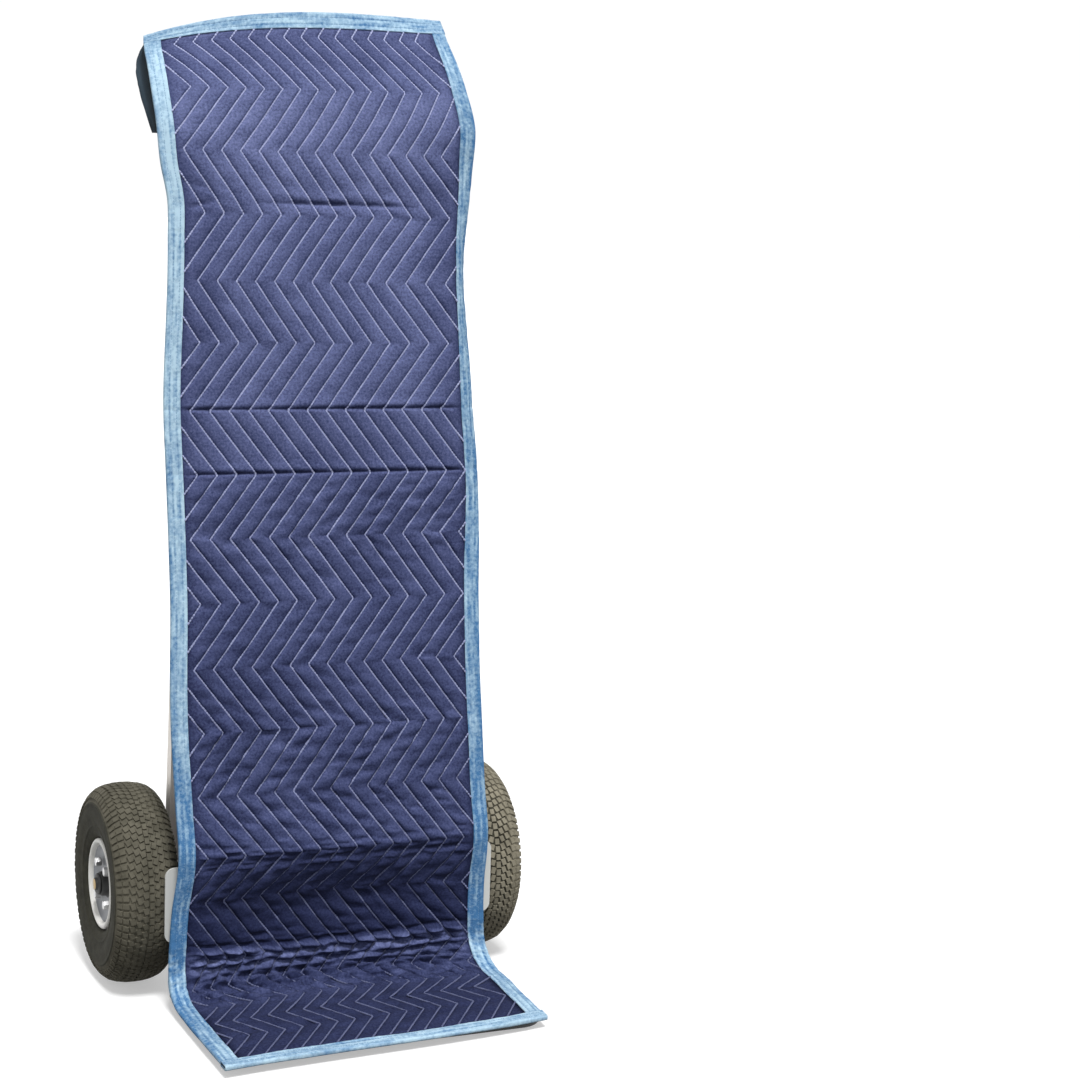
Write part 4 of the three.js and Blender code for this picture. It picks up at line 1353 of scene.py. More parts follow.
@dataclass
class TapeLook:
    """Relief of a binding tape, and its paleness with painted light and shade."""

    stitch_insets: tuple[float, float] = (5.6, 14.4)
    dimple_pitch: float = 7.0
    groove: float = 0.25
    dimple: float = 0.45
    groove_reach: float = 1.3
    bend_rows: Spot = (16.15, 0.32)
    toe_ease: Ease = (16.3, 16.7)
    seam_dip: float = 0.6
    seam_spot: Spot = (0.01, 0.03)
    relief_range: Ease = (-0.95, 2.2)
    pale_ease: Ease = (-160.0, 160.0)
    low_ease: Ease = (12.5, 13.6)
    shade_reach: float = 1.5
    toe_shade_loss: float = 0.7
    toe_shade_ease: Ease = (16.2, 16.7)
    edge_shade: float = 0.22
    edge_ease: Ease = (1.0, 6.5)
    pucker_light: float = 0.12
    pucker_from: float = 0.3
    bend_light_rows: Spot = (16.0, 0.35)
    base_light: float = 0.08
    palest: float = 1.1
    rumple: Rumple = field(default_factory=lambda: Rumple(seed=5))

    PUCKERS = (Layer(0.28, 13.0, 11.0), Layer(0.2, 5.5, 16.0, 0.0, 7.0))
    BEND_PUCKERS = Layer(2.2, 6.0, 18.0, 3.0)
    TOE_PUCKERS = Layer(0.7, 48.0, 3.4)
    MOTTLE = (Layer(0.3, 30.0, 2.8), Layer(0.2, 6.5, 2.8), Layer(0.12, 2.8, 2.8))
    # Painted light and shade of the puckers in the bend
    BEND_PAINTED_PUCKER_SHADE = Layer(0.45, 5.0, 9.0, 3.0)

    # Shade of a sewn line and of a stitch's end: everywhere, and what the lower rows add
    GROOVE_SHADES, DIMPLE_SHADES = (0.08, 0.1), (0.36, 0.5)

    def beat(self, along: Array) -> Array:
        """How near each place along a tape is to a stitch's end, from 0 to 1, and sharpened."""
        return (0.5 + 0.5 * np.cos(FULL_TURN * along / self.dimple_pitch)) ** 2

    def relief(self, along: Array, inset: Array, row: Array) -> Array:
        """Sewn lines, dimples and puckers of a tape's outside.

        Args:
            along: distance along the tape, in millimetres.
            inset: distance in from the cloth's edge.
            row: zigzag row.

        Returns:
            Lift in millimetres.
        """
        layered = self.rumple.layered
        lift = layered(along, inset, *self.PUCKERS)
        for line in self.stitch_insets:
            lift -= (self.groove + self.dimple * self.beat(along)) * hump(inset, line, self.groove_reach)
        lift += hump(row, *self.bend_rows) * layered(along, inset, self.BEND_PUCKERS)
        lift += smoothstep(*self.toe_ease, row) * layered(along, inset, self.TOE_PUCKERS)
        for seam in SEAM_ROWS:
            lift -= self.seam_dip * hump(row - seam, *self.seam_spot)
        return np.clip(lift, *self.relief_range)

    def tone(self, along: Array, inset: Array, row: Array, x: Array, lift: Array,
             long_side: bool) -> Array:
        """How pale a tape is, with painted shade at its sewn lines, stitch ends and outer edge, painted
        highlights on raised puckers and painted pucker shading in the bend.

        Args:
            along: distance along the tape, in millimetres.
            inset: distance in from the cloth's edge.
            row: zigzag row.
            x: flat sideways place.
            lift: relief of the tape's outside.
            long_side: whether the tape lies along a long side.

        Returns:
            Values from 0, deep blue, to about 1.
        """
        layered = self.rumple.layered
        rows, *sides = zip(*PALE_LINES)
        left, right = (np.interp(row, rows, side) for side in sides)
        tone = left + (right - left) * smoothstep(*self.pale_ease, x)
        low = smoothstep(*self.low_ease, row)
        groove, dimple = (base + more * low for base, more in (self.GROOVE_SHADES, self.DIMPLE_SHADES))
        sewn = hump(inset[..., None], np.array(self.stitch_insets), self.shade_reach).max(axis=-1)
        loss = 1 - self.toe_shade_loss * smoothstep(*self.toe_shade_ease, row)
        tone -= sewn * (groove + dimple * self.beat(along)) * loss
        tone -= self.edge_shade * (1 - smoothstep(*self.edge_ease, inset)) * long_side
        tone += self.pucker_light * np.maximum(lift - self.pucker_from, 0.0)
        tone += layered(along, inset, *self.MOTTLE)
        tone += hump(row, *self.bend_light_rows) * layered(along, inset, self.BEND_PAINTED_PUCKER_SHADE)
        return np.clip(tone + self.base_light, 0.0, self.palest)


@dataclass
class Cover:
    """Quilted panel, its stitches, the four binding tapes and the pocket."""

    cloth: HangingCloth
    materials: Materials
    repeats: Repeats
    puff: float = 2.0
    groove: float = 3.8
    toe_groove: float = 2.3
    thickness: float = 7.0
    least_padding: float = 0.75
    hem: float = 21.0
    hem_ease: float = 14.0
    hem_ease_rows: float = 0.15
    hem_columns: tuple[float, float] = (14.0, 7.0)
    merged_columns: float = 1.0
    rows_per_turn: int = 16
    least_row_step: float = 0.004
    crown_ease: float = 9.0
    thread_radius: float = 0.00148
    thread_lift: float = 1.2
    toe_thread_lift: float = 1.7
    rear_thread_lift: float = -0.6
    thread_overlap: float = 1.22
    shortest_run: float = 8.0
    tape_width: float = 20.0
    tape_thickness: float = 1.3
    tape_tuck: float = 0.7
    tape_lip: float = 0.15
    tape_fold: float = 0.6
    flap_points: int = 19
    fold_points: int = 9
    tape_end_ease: float = 4.0
    tape_rear_relief: float = -0.35
    sewn_gap: float = 0.4
    tape_step: float = 1.75
    toe_tab: float = 1.0
    stitch_sunk: float = 0.1
    stitch_length: float = 0.0026
    stitch_radius: float = 0.00036
    stitch_clear: tuple[float, float] = (3.0, 1.0)
    stitch_seeds: tuple[int, int] = (3, 8)
    run_step: float = 0.02
    run_points: int = 220
    quilt_pitch: float = 0.0041
    rear_quilt_pitch: float = 0.0056
    pocket_wall: float = 2.0
    pocket_gap: float = 0.7
    pocket_sag: float = 2.2
    pocket_sag_rows: Ease = (0.75, 1.1)
    pocket_points: tuple[int, int, int] = (9, 31, 121)
    pocket_tones: Ease = (0.05, 1.0)
    flat_length: float = 1560.0
    tape_flat: float = 0.05
    side_tape_flat: float = 1.52
    end_tape_flat: float = 0.43
    pocket_flat: tuple[float, float] = (0.58, 0.19)
    cloth_tone: ClothTone = field(default_factory=ClothTone)
    tape_look: TapeLook = field(default_factory=TapeLook)
    rumple: Rumple = field(default_factory=lambda: Rumple(seed=5))

    CHANNEL = ((0.0, 0.0), (0.055, 0.6), (0.14, 0.88), (0.36, 1.0), (0.64, 1.0), (0.86, 0.88),
               (0.945, 0.6))
    SEAM_STEPS = (-0.1, -0.045, -0.02, 0.01, 0.03, 0.05, 0.1)
    DENSE_ROWS = ((3.6, 4.0, 0.025), (13.75, 14.25, 0.03), (15.6, 16.8, 0.028))
    POCKET_RUMPLE = (Layer(1.0, 1 / 5, 1 / 5), Layer(0.6, 1 / 9, 1 / 11, 0.0, 4.0))
    POCKET_MOTTLE = Layer(0.16, 1 / 1.4, 9.0)

    @property
    def inner(self) -> float:
        """Sideways place where the tapes' flaps end."""
        return self.cloth.width / 2 - self.hem

    @property
    def top_hem(self) -> float:
        """Row where the top tape's flap ends."""
        return TOP_ROW + self.hem / ROW_PITCH

    @property
    def toe_hem(self) -> float:
        """Row where the toe tape's flap ends."""
        return TOE_ROW - self.hem / TOE_ROW_PITCH

    @property
    def tape_over(self) -> float:
        """How far a tape's outside stands over what it is sewn to."""
        return self.sewn_gap + self.tape_thickness

    @staticmethod
    def flat_place(row: Array) -> Array:
        """Distance down the flat cloth, in millimetres."""
        row = np.asarray(row, float)
        return np.minimum(row, FOLD_ROW) * ROW_PITCH + np.maximum(row - FOLD_ROW, 0) * TOE_ROW_PITCH

    def panel_rows(self) -> Array:
        """Rows of points down the panel, closer together at seams and folds.

        Returns:
            Rows in order.
        """
        steps = self.rows_per_turn
        rows = set(np.arange(math.ceil(self.top_hem * steps), self.toe_hem * steps) / steps)
        rows |= {seam + step for seam in SEAM_ROWS for step in self.SEAM_STEPS}
        for dense in self.DENSE_ROWS:
            rows |= set(np.arange(*dense))
        rows |= {turn.row for turn in ZIGZAG_TURNS}
        rows |= {TOP_ROW, TOP_ROW + 0.1, self.top_hem, self.toe_hem, TOE_ROW - 0.1, TOE_ROW}
        ordered = np.array(sorted(row for row in rows if TOP_ROW <= row <= TOE_ROW))
        return ordered[np.concatenate([[True], np.diff(ordered) > self.least_row_step])]

    def front_height(self, row: Array, x: Array, free: Array | float) -> Array:
        """Height of the front face, with its grooves and creases, over the crests.

        Args:
            row: zigzag rows.
            x: flat sideways places.
            free: how far the cloth is from being held by a stitch, from 0 to 1.

        Returns:
            Heights in millimetres.
        """
        top, toe, ease = self.top_hem, self.toe_hem, self.hem_ease_rows
        inside = smoothstep(0.0, self.hem_ease, self.inner - np.abs(x))
        inside = inside * window(row, (top, top + ease), (toe - ease, toe))
        groove = self.groove + (self.toe_groove - self.groove) * smoothstep(*ONTO_TOE, row)
        depth = self.puff + (groove - self.puff) * inside
        height = depth * (free - 1) + self.cloth.relief(row, x, free) * inside
        return np.maximum(height, self.least_padding - self.thickness + self.puff)

    def panel_grid(self) -> tuple[Array, Array]:
        """Corners of the panel's front face, which follow the stitch lines.

        Returns:
            Corner numbers by row and column, and each corner's row, sideways place and freedom.
        """
        cloth, inner = self.cloth, self.inner
        part, height = np.array(self.CHANNEL).T
        lines = np.arange(-cloth.lines_each_side, cloth.lines_each_side)
        columns, channel = (lines[:, None] + part[None, :]).ravel(), np.tile(height, len(lines))
        edge_places = (cloth.width / 2, *(inner + step for step in self.hem_columns))
        index: list[list[int]] = []
        corners: list[tuple[float, float, float]] = []

        def corner(row: float, x: float, free: float = 0.0) -> int:
            """Keeps one corner and returns its number."""
            corners.append((row, x, free))
            return len(corners) - 1

        for row in self.panel_rows():
            places = cloth.stitch_place(np.clip(row, self.top_hem, self.toe_hem), columns)
            crown = channel * smoothstep(0.0, self.crown_ease, inner - np.abs(places))
            if row <= self.top_hem or row >= self.toe_hem:
                crown = np.zeros_like(crown)
            line = [corner(row, -x) for x in edge_places]
            left, right = corner(row, -inner), corner(row, inner)
            for x, free in zip(places, crown):
                if abs(x) > inner - self.merged_columns:
                    line.append(left if x < 0 else right)
                else:
                    line.append(corner(row, x, free))
            index.append(line + [corner(row, x) for x in edge_places[::-1]])
        return np.array(index), np.array(corners).T

    def build_panel(self) -> Object:
        """Quilted panel, puffed between its stitch lines on both faces.

        Returns:
            The panel.
        """
        cloth = self.cloth
        grid, (row, x, free) = self.panel_grid()
        front = self.front_height(row, x, free)
        back = -self.thickness + self.puff * (1 - free)
        points = np.concatenate([cloth.drape(row, x, front), cloth.drape(row, x, back)])
        flat = np.stack([x, self.flat_place(row)], axis=-1) * MM
        piece = make_piece("quilted_panel_cloth", to_frame(points), shell_faces(grid, len(row)),
                           self.materials.get(QUILT), np.concatenate([flat, flat]))
        plain = cloth.normal(row, x)
        shown = corner_vectors(piece, "normal")[:len(row)]
        shown *= np.sign(np.einsum("ij,ij->", shown, plain))
        # Painted light and shade: the smooth cloth's painted shade, times the folds' painted shading by which
        # way each corner faces; the rear face gets only the smooth painted shade
        tone = self.cloth_tone.smooth(row, x, np.maximum(self.inner - np.abs(x), 0.0))
        worn = self.cloth_tone.worn(row, x, free, shown - plain)
        add_tone(piece, np.concatenate([tone * worn, tone]))
        turn_outwards(piece)
        return piece

    def build_quilting(self, name: str, behind: bool, pitch: float) -> Object:
        """Pale stitches along every zigzag line, on one face of the panel.

        Args:
            name: name of the piece.
            behind: whether they lie on the rear face.
            pitch: distance between two stitches, in metres.

        Returns:
            The stitches as one piece.
        """
        cloth, inner, apart = self.cloth, self.inner, self.least_row_step
        first, last = self.top_hem + 2 * apart, self.toe_hem - 2 * apart
        rows = self.panel_rows()
        rows = np.concatenate([[first], rows[(rows > first + apart) & (rows < last - apart)], [last]])
        runs = []

        def edge_row(x: Array, shown: int, hidden: int) -> list[float]:
            """Row where a line runs under a tape, between a point that shows and its neighbour.

            Args:
                x: sideways places of the line's points.
                shown: number of the point that shows.
                hidden: number of its neighbour.

            Returns:
                That row, or nothing at the line's end.
            """
            if not 0 <= hidden < len(rows):
                return []
            share = (inner - abs(x[shown])) / (abs(x[hidden]) - abs(x[shown]))
            return [rows[shown] + share * (rows[hidden] - rows[shown])]

        for line in range(-cloth.lines_each_side, cloth.lines_each_side + 1):
            x = cloth.stitch_place(rows, line)
            held = np.abs(x) < inner
            for run in np.split(np.arange(len(rows)), np.where(np.diff(held.astype(int)) != 0)[0] + 1):
                if not held[run[0]]:
                    continue
                start, end = edge_row(x, run[0], run[0] - 1), edge_row(x, run[-1], run[-1] + 1)
                down = np.array(start + rows[run].tolist() + end)
                across = cloth.stitch_place(down, line)
                lift = self.front_height(down, across, 0.0) + self.thread_lift
                lift += (self.toe_thread_lift - self.thread_lift) * smoothstep(*ONTO_TOE, down)
                if behind:
                    lift = np.full(len(down), self.puff - self.thickness + self.rear_thread_lift)
                if np.ptp(across) > self.shortest_run:
                    runs.append(cloth.drape(down, across, lift))
        piece = self.repeats.sew(name, runs, pitch, pitch * self.thread_overlap, self.thread_radius,
                                 self.stitch_seeds[0], self.materials.get(QUILT_THREAD))
        # Painted shade on the thread by height, following the cloth's painted shade
        add_tone(piece, curve(THREAD_PAINTED_SHADE_BY_HEIGHT, corner_vectors(piece, "co")[:, 2] / MM))
        return piece

    def tape_section(self) -> tuple[Array, Array, int]:
        """Section of a folded tape.

        Returns:
            Distance in from the cloth's edge, height over its crests, and how many points lie on the outside.
        """
        t, gap, width, tuck = self.tape_thickness, self.sewn_gap, self.tape_width, self.tape_tuck
        face = -self.puff + gap + t
        rear = self.puff - self.thickness - gap - t
        flap = np.linspace(width, self.tape_fold, self.flap_points)
        turn = np.linspace(0, math.pi, self.fold_points)[1:-1]
        mid, half = (face + rear) / 2, (face - rear) / 2
        end = [width + self.tape_lip]
        outer_in = np.concatenate([end, flap, -(gap + t) * np.sin(turn), flap[::-1], end])
        outer_over = np.concatenate([[face - tuck], np.full(len(flap), face), mid + half * np.cos(turn),
                                     np.full(len(flap), rear), [rear + tuck]])
        inner_in = np.array([width, -gap * self.tape_fold, -gap * self.tape_fold, width])
        inner_over = np.array([rear + t, rear + t, face - t, face - t])
        return np.concatenate([outer_in, inner_in]), np.concatenate([outer_over, inner_over]), len(outer_in)

    def build_tape(self, name: str, rows: Array, edges: Array, inward_rows: float,
                   inward_x: float) -> Object:
        """Tape folded over one edge of the cover.

        Args:
            name: name of the piece.
            rows: row of each ring, on the cloth's edge.
            edges: sideways place of each ring, on the cloth's edge.
            inward_rows: rows for each millimetre in from the edge.
            inward_x: sideways millimetres for each millimetre in from the edge.

        Returns:
            The tape.
        """
        inset, over, outside = self.tape_section()
        row = rows[:, None] + inward_rows * inset[None, :]
        x = edges[:, None] + inward_x * inset[None, :]
        along = np.abs(self.flat_place(rows) - self.flat_place(rows[:1])) + np.abs(edges - edges[0])
        along = np.repeat(along[:, None], len(inset), axis=1)
        spread = np.repeat(inset[None, :], len(rows), axis=0)
        lift = self.tape_look.relief(along, spread, row)
        lift[:, outside:] = 0.0
        facing = np.where(np.arange(len(inset)) < outside / 2, 1.0, self.tape_rear_relief)
        ends = smoothstep(0.0, self.tape_end_ease, np.minimum(along, along.max() - along))
        points = self.cloth.drape(row, x, over[None, :] + lift * facing[None, :] * ends)
        rings = np.arange(row.size).reshape(row.shape)
        across = np.cumsum(np.concatenate([[0.0], np.hypot(np.diff(inset), np.diff(over))]))
        flat = np.stack([np.repeat(across[None, :], len(rows), axis=0), along], axis=-1).reshape(-1, 2) * MM
        piece = make_piece(name, to_frame(points), closed_rings(rings), self.materials.get(TAPE), flat)
        add_tone(piece, self.tape_look.tone(along, spread, row, x, lift, inward_rows == 0.0).ravel())
        turn_outwards(piece)
        return piece

    def side_tape(self, side: Side) -> Object:
        """Tape along one long side, between the tapes across the ends.

        Args:
            side: which side.

        Returns:
            The tape.
        """
        reach = self.tape_width + self.sewn_gap
        start = float(self.flat_place(TOP_ROW + reach / ROW_PITCH))
        length = float(self.flat_place(TOE_ROW - reach / TOE_ROW_PITCH)) - start
        flat = start + np.linspace(0.0, length, round(length / self.tape_step))
        fold = FOLD_ROW * ROW_PITCH
        rows = np.where(flat < fold, flat / ROW_PITCH, FOLD_ROW + (flat - fold) / TOE_ROW_PITCH)
        edges = np.full_like(rows, side.value * self.cloth.width / 2)
        return self.build_tape(f"binding_{side.label}_tape", rows, edges, 0.0, -side.value)

    def end_tape(self, name: str, row: float, inward_rows: float, tab: float) -> Object:
        """Tape across the top or the toe, over the ends of the side tapes.

        Args:
            name: name of the piece.
            row: row of the cloth's edge.
            inward_rows: rows for each millimetre in from the edge.
            tab: how far the tape stands out past the right side.

        Returns:
            The tape.
        """
        reach = self.cloth.width / 2 + self.tape_over
        edges = np.linspace(-reach, reach + tab, round((2 * reach + tab) / self.tape_step))
        return self.build_tape(name, np.full_like(edges, row), edges, inward_rows, 0.0)

    def build_tape_stitches(self) -> Object:
        """Two rows of short stitches along both faces of every tape.

        Returns:
            The stitches as one piece.
        """
        cloth, half, runs = self.cloth, self.cloth.width / 2, []
        raised = self.tape_over - self.stitch_sunk
        beside, end = self.stitch_clear
        reach = self.tape_width + beside
        rows = np.arange(TOP_ROW + reach / ROW_PITCH, TOE_ROW - reach / TOE_ROW_PITCH, self.run_step)
        across = np.linspace(end - half, half - end, self.run_points)
        for inset in self.tape_look.stitch_insets:
            for over in (raised - self.puff, self.puff - self.thickness - raised):
                for side in Side:
                    runs.append(cloth.drape(rows, np.full_like(rows, side.value * (half - inset)), over))
                for row in (TOP_ROW + inset / ROW_PITCH, TOE_ROW - inset / TOE_ROW_PITCH):
                    runs.append(cloth.drape(np.full_like(across, row), across, over))
        return self.repeats.sew("binding_stitches", runs, self.tape_look.dimple_pitch * MM / 2,
                                self.stitch_length, self.stitch_radius, self.stitch_seeds[1],
                                self.materials.get(TAPE_THREAD))

    def build_pocket(self) -> Object:
        """Black pocket behind the top, sewn at its top and sides and open below.

        Returns:
            The pocket.
        """
        depth, square = Track(POCKET_ROWS, POCKET_DEPTHS), Track(POCKET_ROWS, POCKET_SQUARENESS)
        top, _, knee, *_, bottom = POCKET_ROWS
        above, below, around = self.pocket_points
        fine = np.concatenate([np.linspace(top, knee, above)[:-1], np.linspace(knee, bottom, below)])
        angle = np.linspace(math.pi, 0.0, around)
        start = self.puff - self.thickness - self.tape_over - self.pocket_gap
        row = np.repeat(fine[:, None], len(angle), axis=1)
        power = 2 / square.at(row)
        across = np.sign(np.cos(angle)) * np.abs(np.cos(angle)) ** power
        bulge = np.clip(np.sin(angle), 0.0, 1.0) ** power
        sag = self.pocket_sag * self.rumple.layered(row, across, *self.POCKET_RUMPLE)
        sag = sag * bulge * smoothstep(*self.pocket_sag_rows, row)
        sheets = []
        for wall in (0.0, self.pocket_wall):
            half = self.cloth.width / 2 - self.pocket_wall + wall
            sheet = self.cloth.drape(row, across * half, start)
            sheet[..., 1] += bulge * (depth.at(row) + wall) + sag
            sheets.append(sheet)
        inside = np.arange(row.size).reshape(row.shape)
        steps = np.linalg.norm(np.diff(sheets[1], axis=1), axis=-1)
        length = np.concatenate([np.zeros((len(fine), 1)), np.cumsum(steps, axis=1)], axis=1)
        flat = np.stack([length - length[:, -1:] / 2, row * ROW_PITCH], axis=-1).reshape(-1, 2) * MM
        piece = make_piece("top_pocket_cloth", to_frame(np.stack(sheets)),
                           shell_faces(inside, row.size, flip=True), self.materials.get(POCKET),
                           np.concatenate([flat, flat]))
        # Painted light and shade on the pocket, with random mottle
        tone = curve(POCKET_PAINTED_SHADE_BY_BULGE, bulge) * curve(POCKET_PAINTED_SHADE_BY_ROW, row)
        tone = (tone + self.rumple.layered(row, length, self.POCKET_MOTTLE)).ravel()
        add_tone(piece, np.clip(np.concatenate([tone, tone]), *self.pocket_tones))
        turn_outwards(piece)
        return piece

    def build(self) -> None:
        """Builds every piece of the cover and tells the frame about it."""
        panel = self.build_panel()
        sewing = [
            self.build_quilting("zigzag_stitches", behind=False, pitch=self.quilt_pitch),
            self.build_quilting("zigzag_stitches_rear", behind=True, pitch=self.rear_quilt_pitch),
        ]
        side_tapes = {f"binding_{side.label}": self.side_tape(side) for side in Side}
        end_tapes = {
            "binding_top": self.end_tape("binding_top_tape", TOP_ROW, 1 / ROW_PITCH, 0.0),
            "binding_toe": self.end_tape("binding_toe_tape", TOE_ROW, -1 / TOE_ROW_PITCH, self.toe_tab),
        }
        sewing.append(self.build_tape_stitches())
        pocket = self.build_pocket()
        register(panel, "quilted_panel")
        for piece, slot in zip(sewing, ("quilted_cloth", "quilted_cloth", "binding_tape")):
            register(piece)
        register(pocket, "top_pocket")
        for tapes, length in ((side_tapes, self.side_tape_flat), (end_tapes, self.end_tape_flat)):
            for node, tape in tapes.items():
                register(tape, node)


@dataclass
class Wheel:
    """One wheel: tyre with tread, rim, hub and nuts, in millimetres."""

    side: Side
    materials: Materials
    repeats: Repeats
    radius: float = 133.0
    centre_x: float = 243.0
    axle_y: float = 160.0
    tread_base: float = 130.6
    segments: int = 96
    lugs: int = 78
    lug_sunk: float = 0.4
    lug_stagger: float = 0.34
    lug_skew: float = math.radians(20.0)
    rib_place: float = 27.0
    nut_radius: float = 32.0
    nut_place: float = 29.0

    TYRE_HALF = (
        (61.6, 32.0), (63.0, 34.6), (67.0, 37.0), (73.0, 38.6), (75.0, 39.0), (76.2, 40.2), (77.6, 40.2),
        (78.8, 39.8), (86.0, 41.8), (94.0, 42.8), (101.0, 42.9), (105.0, 42.4), (106.2, 43.0),
        (107.6, 42.9), (108.8, 41.6), (114.5, 39.4), (120.5, 35.2), (125.6, 28.6), (128.6, 20.0),
        (130.2, 10.0),
    )
    RIM_PROFILE = (
        (60.2, -29.0), (60.4, 28.0), (60.6, 33.0), (60.0, 35.2), (58.4, 36.6), (56.4, 37.0), (54.2, 36.2),
        (52.8, 34.0), (51.6, 31.0), (49.6, 28.4), (46.0, 26.8), (40.0, 26.2), (30.0, 26.0), (19.4, 26.0),
        (17.8, 26.6), (16.6, 28.4), (16.0, 34.4), (15.0, 36.0), (9.0, 36.0), (9.0, -28.0), (18.0, -29.0),
        (18.4, 18.0), (46.0, 18.0), (51.0, -27.0), (56.0, -30.0),
    )
    HUB_PROFILE = (
        (0.0, 36.3), (13.4, 36.3), (14.2, 37.0), (14.2, 38.6), (13.2, 39.4), (9.0, 39.6), (8.6, 40.2),
        (8.4, 42.2), (7.4, 43.0), (0.0, 43.0),
    )
    SHOULDER = 14
    # Radii that take the tread rubber: dusty on the left; on the right the lighter painted-lit copy stops
    # short, so the grooves keep dark rubber as painted shade
    TREAD_RUBBER_BANDS = {Side.LEFT: (111.0, 140.0), Side.RIGHT: (111.0, 129.0)}
    LIP_BAND, BOSS_BAND, BRASS_BAND = (51.6, 70.0), (0.0, 22.0), (0.0, 6.0)
    LUG_PLACES = (-37.6, -31.2, -23.5, -15.6, -7.8, 0.0, 7.8, 15.6, 23.5, 31.2, 37.6)
    LUG_SIZE = (0.0047, 0.0062, 0.0026)
    NUT_ANGLES = (0.7, 2.3, 3.9, 5.5)
    NUT_SIZE = (0.0066, 0.0066, 0.0075)

    @property
    def tread_finish(self) -> Finish:
        """Rubber of the tread: dusty on the left, and on the right a lighter copy that paints the light on
        that tyre.
        """
        return TREAD_RUBBER if self.side is Side.LEFT else LIT_TREAD_RUBBER

    def place(self, around: Array, radius: Array | float, out: Array | float) -> Array:
        """Points about the axle.

        Args:
            around: angle about the axle.
            radius: distance from the axle.
            out: distance outward from the wheel's middle.

        Returns:
            Points in the part's frame, in millimetres.
        """
        x = self.side.value * (self.centre_x + out)
        y = self.axle_y + FRAME_SHIFT_MM + radius * np.sin(around)
        z = self.radius + radius * np.cos(around)
        return np.stack(np.broadcast_arrays(x, y, z), axis=-1)

    @staticmethod
    def forward(around: Array) -> Array:
        """Directions round the wheel, one row for each angle."""
        return np.stack([np.zeros_like(around), np.cos(around), -np.sin(around)], axis=-1)

    def turned(self, name: str, profile: Knots, finish: Finish, closed: bool = True) -> Object:
        """Body turned about the axle.

        Args:
            name: name of the piece.
            profile: radius and outward distance of each ring.
            finish: finish of the piece.
            closed: whether the last ring joins the first.

        Returns:
            The turned piece.
        """
        around = np.linspace(0, FULL_TURN, self.segments, endpoint=False)
        radius, out = np.array(profile, float).T
        points = self.place(around[None, :], radius[:, None], out[:, None])
        rings = np.arange(points.shape[0] * points.shape[1]).reshape(points.shape[:2])
        rings[radius == 0.0] = rings[radius == 0.0, :1]
        faces = closed_rings(np.concatenate([rings, rings[:1]]) if closed else rings, capped=False)
        used = np.unique(np.concatenate(faces))
        faces = [np.searchsorted(used, face).tolist() for face in faces]
        piece = make_piece(name, to_frame(points.reshape(-1, 3)[used]), faces, self.materials.get(finish))
        turn_outwards(piece)
        return piece

    def dress_by_radius(self, piece: Object, bands: Sequence[tuple[float, float, Finish]]) -> None:
        """Gives the faces of a turned piece more finishes by their distance from the axle.

        Args:
            piece: the turned piece.
            bands: lowest and highest distance in millimetres, and the finish between them.
        """
        axle = Vector((0.0, (self.axle_y + FRAME_SHIFT_MM) * MM, self.radius * MM))
        for number, (low, high, finish) in enumerate(bands, start=1):
            piece.data.materials.append(self.materials.get(finish))
            for polygon in piece.data.polygons:
                if low <= (polygon.center - axle).yz.length / MM < high:
                    polygon.material_index = number

    def build_tyre(self) -> Object:
        """Tyre with ridged sidewalls, whose grooves stay dark on the right as painted shade.

        Returns:
            The tyre.
        """
        half = list(self.TYRE_HALF)
        profile = [(radius, -out) for radius, out in half] + [(self.tread_base, 0.0)] + half[::-1]
        piece = self.turned(f"tyre_{self.side.label}_body", profile, RUBBER)
        self.dress_by_radius(piece, ((*self.TREAD_RUBBER_BANDS[self.side], self.tread_finish),))
        return piece

    def surface(self, out: float) -> tuple[float, float, float]:
        """Radius and outward normal of the tread at a sideways place.

        Args:
            out: distance from the tyre's middle.

        Returns:
            Radius, and the normal's radial and sideways parts.
        """
        half = [(place, radius) for radius, place in self.TYRE_HALF[self.SHOULDER:]]
        places = half + [(0.0, self.tread_base)] + [(-place, radius) for place, radius in half]
        sideways, radius = zip(*sorted(places))
        before, here, after = np.interp((out - 1, out, out + 1), sideways, radius)
        slope = (after - before) / 2
        size = math.hypot(1.0, slope)
        return here, 1 / size, -slope / size

    def build_tread(self) -> Object:
        """Blocks of the tread, in staggered rows round the tyre.

        Returns:
            The blocks as one piece.
        """
        points, outward, lengthwise = [], [], []
        middle = len(self.LUG_PLACES) // 2
        for k, out in enumerate(self.LUG_PLACES):
            radius, radial, sideways = self.surface(out)
            rib = abs(out) > self.rib_place
            stagger = 0.0 if rib else self.lug_stagger * abs(k - middle)
            around = (np.arange(self.lugs) + stagger) * FULL_TURN / self.lugs
            spot = self.place(around, radius - self.lug_sunk * radial, out)
            spot[:, 0] -= self.side.value * self.lug_sunk * sideways
            normal = np.stack([np.full_like(around, self.side.value * sideways), radial * np.sin(around),
                               radial * np.cos(around)], axis=-1)
            tangent = self.forward(around)
            skew = math.pi / 2 if rib else self.lug_skew * np.sign(k - middle)
            points.append(spot)
            outward.append(normal)
            lengthwise.append(tangent * math.cos(skew) + np.cross(normal, tangent) * math.sin(skew))
        return self.repeats.set_blocks(
            f"tyre_{self.side.label}_tread", *map(np.concatenate, (points, outward, lengthwise)), Corners=4,
            Taper=0.9, Size=self.LUG_SIZE, Turn=math.pi / 4, Spread=0.05, Seed=4,
            Finish=self.materials.get(self.tread_finish))

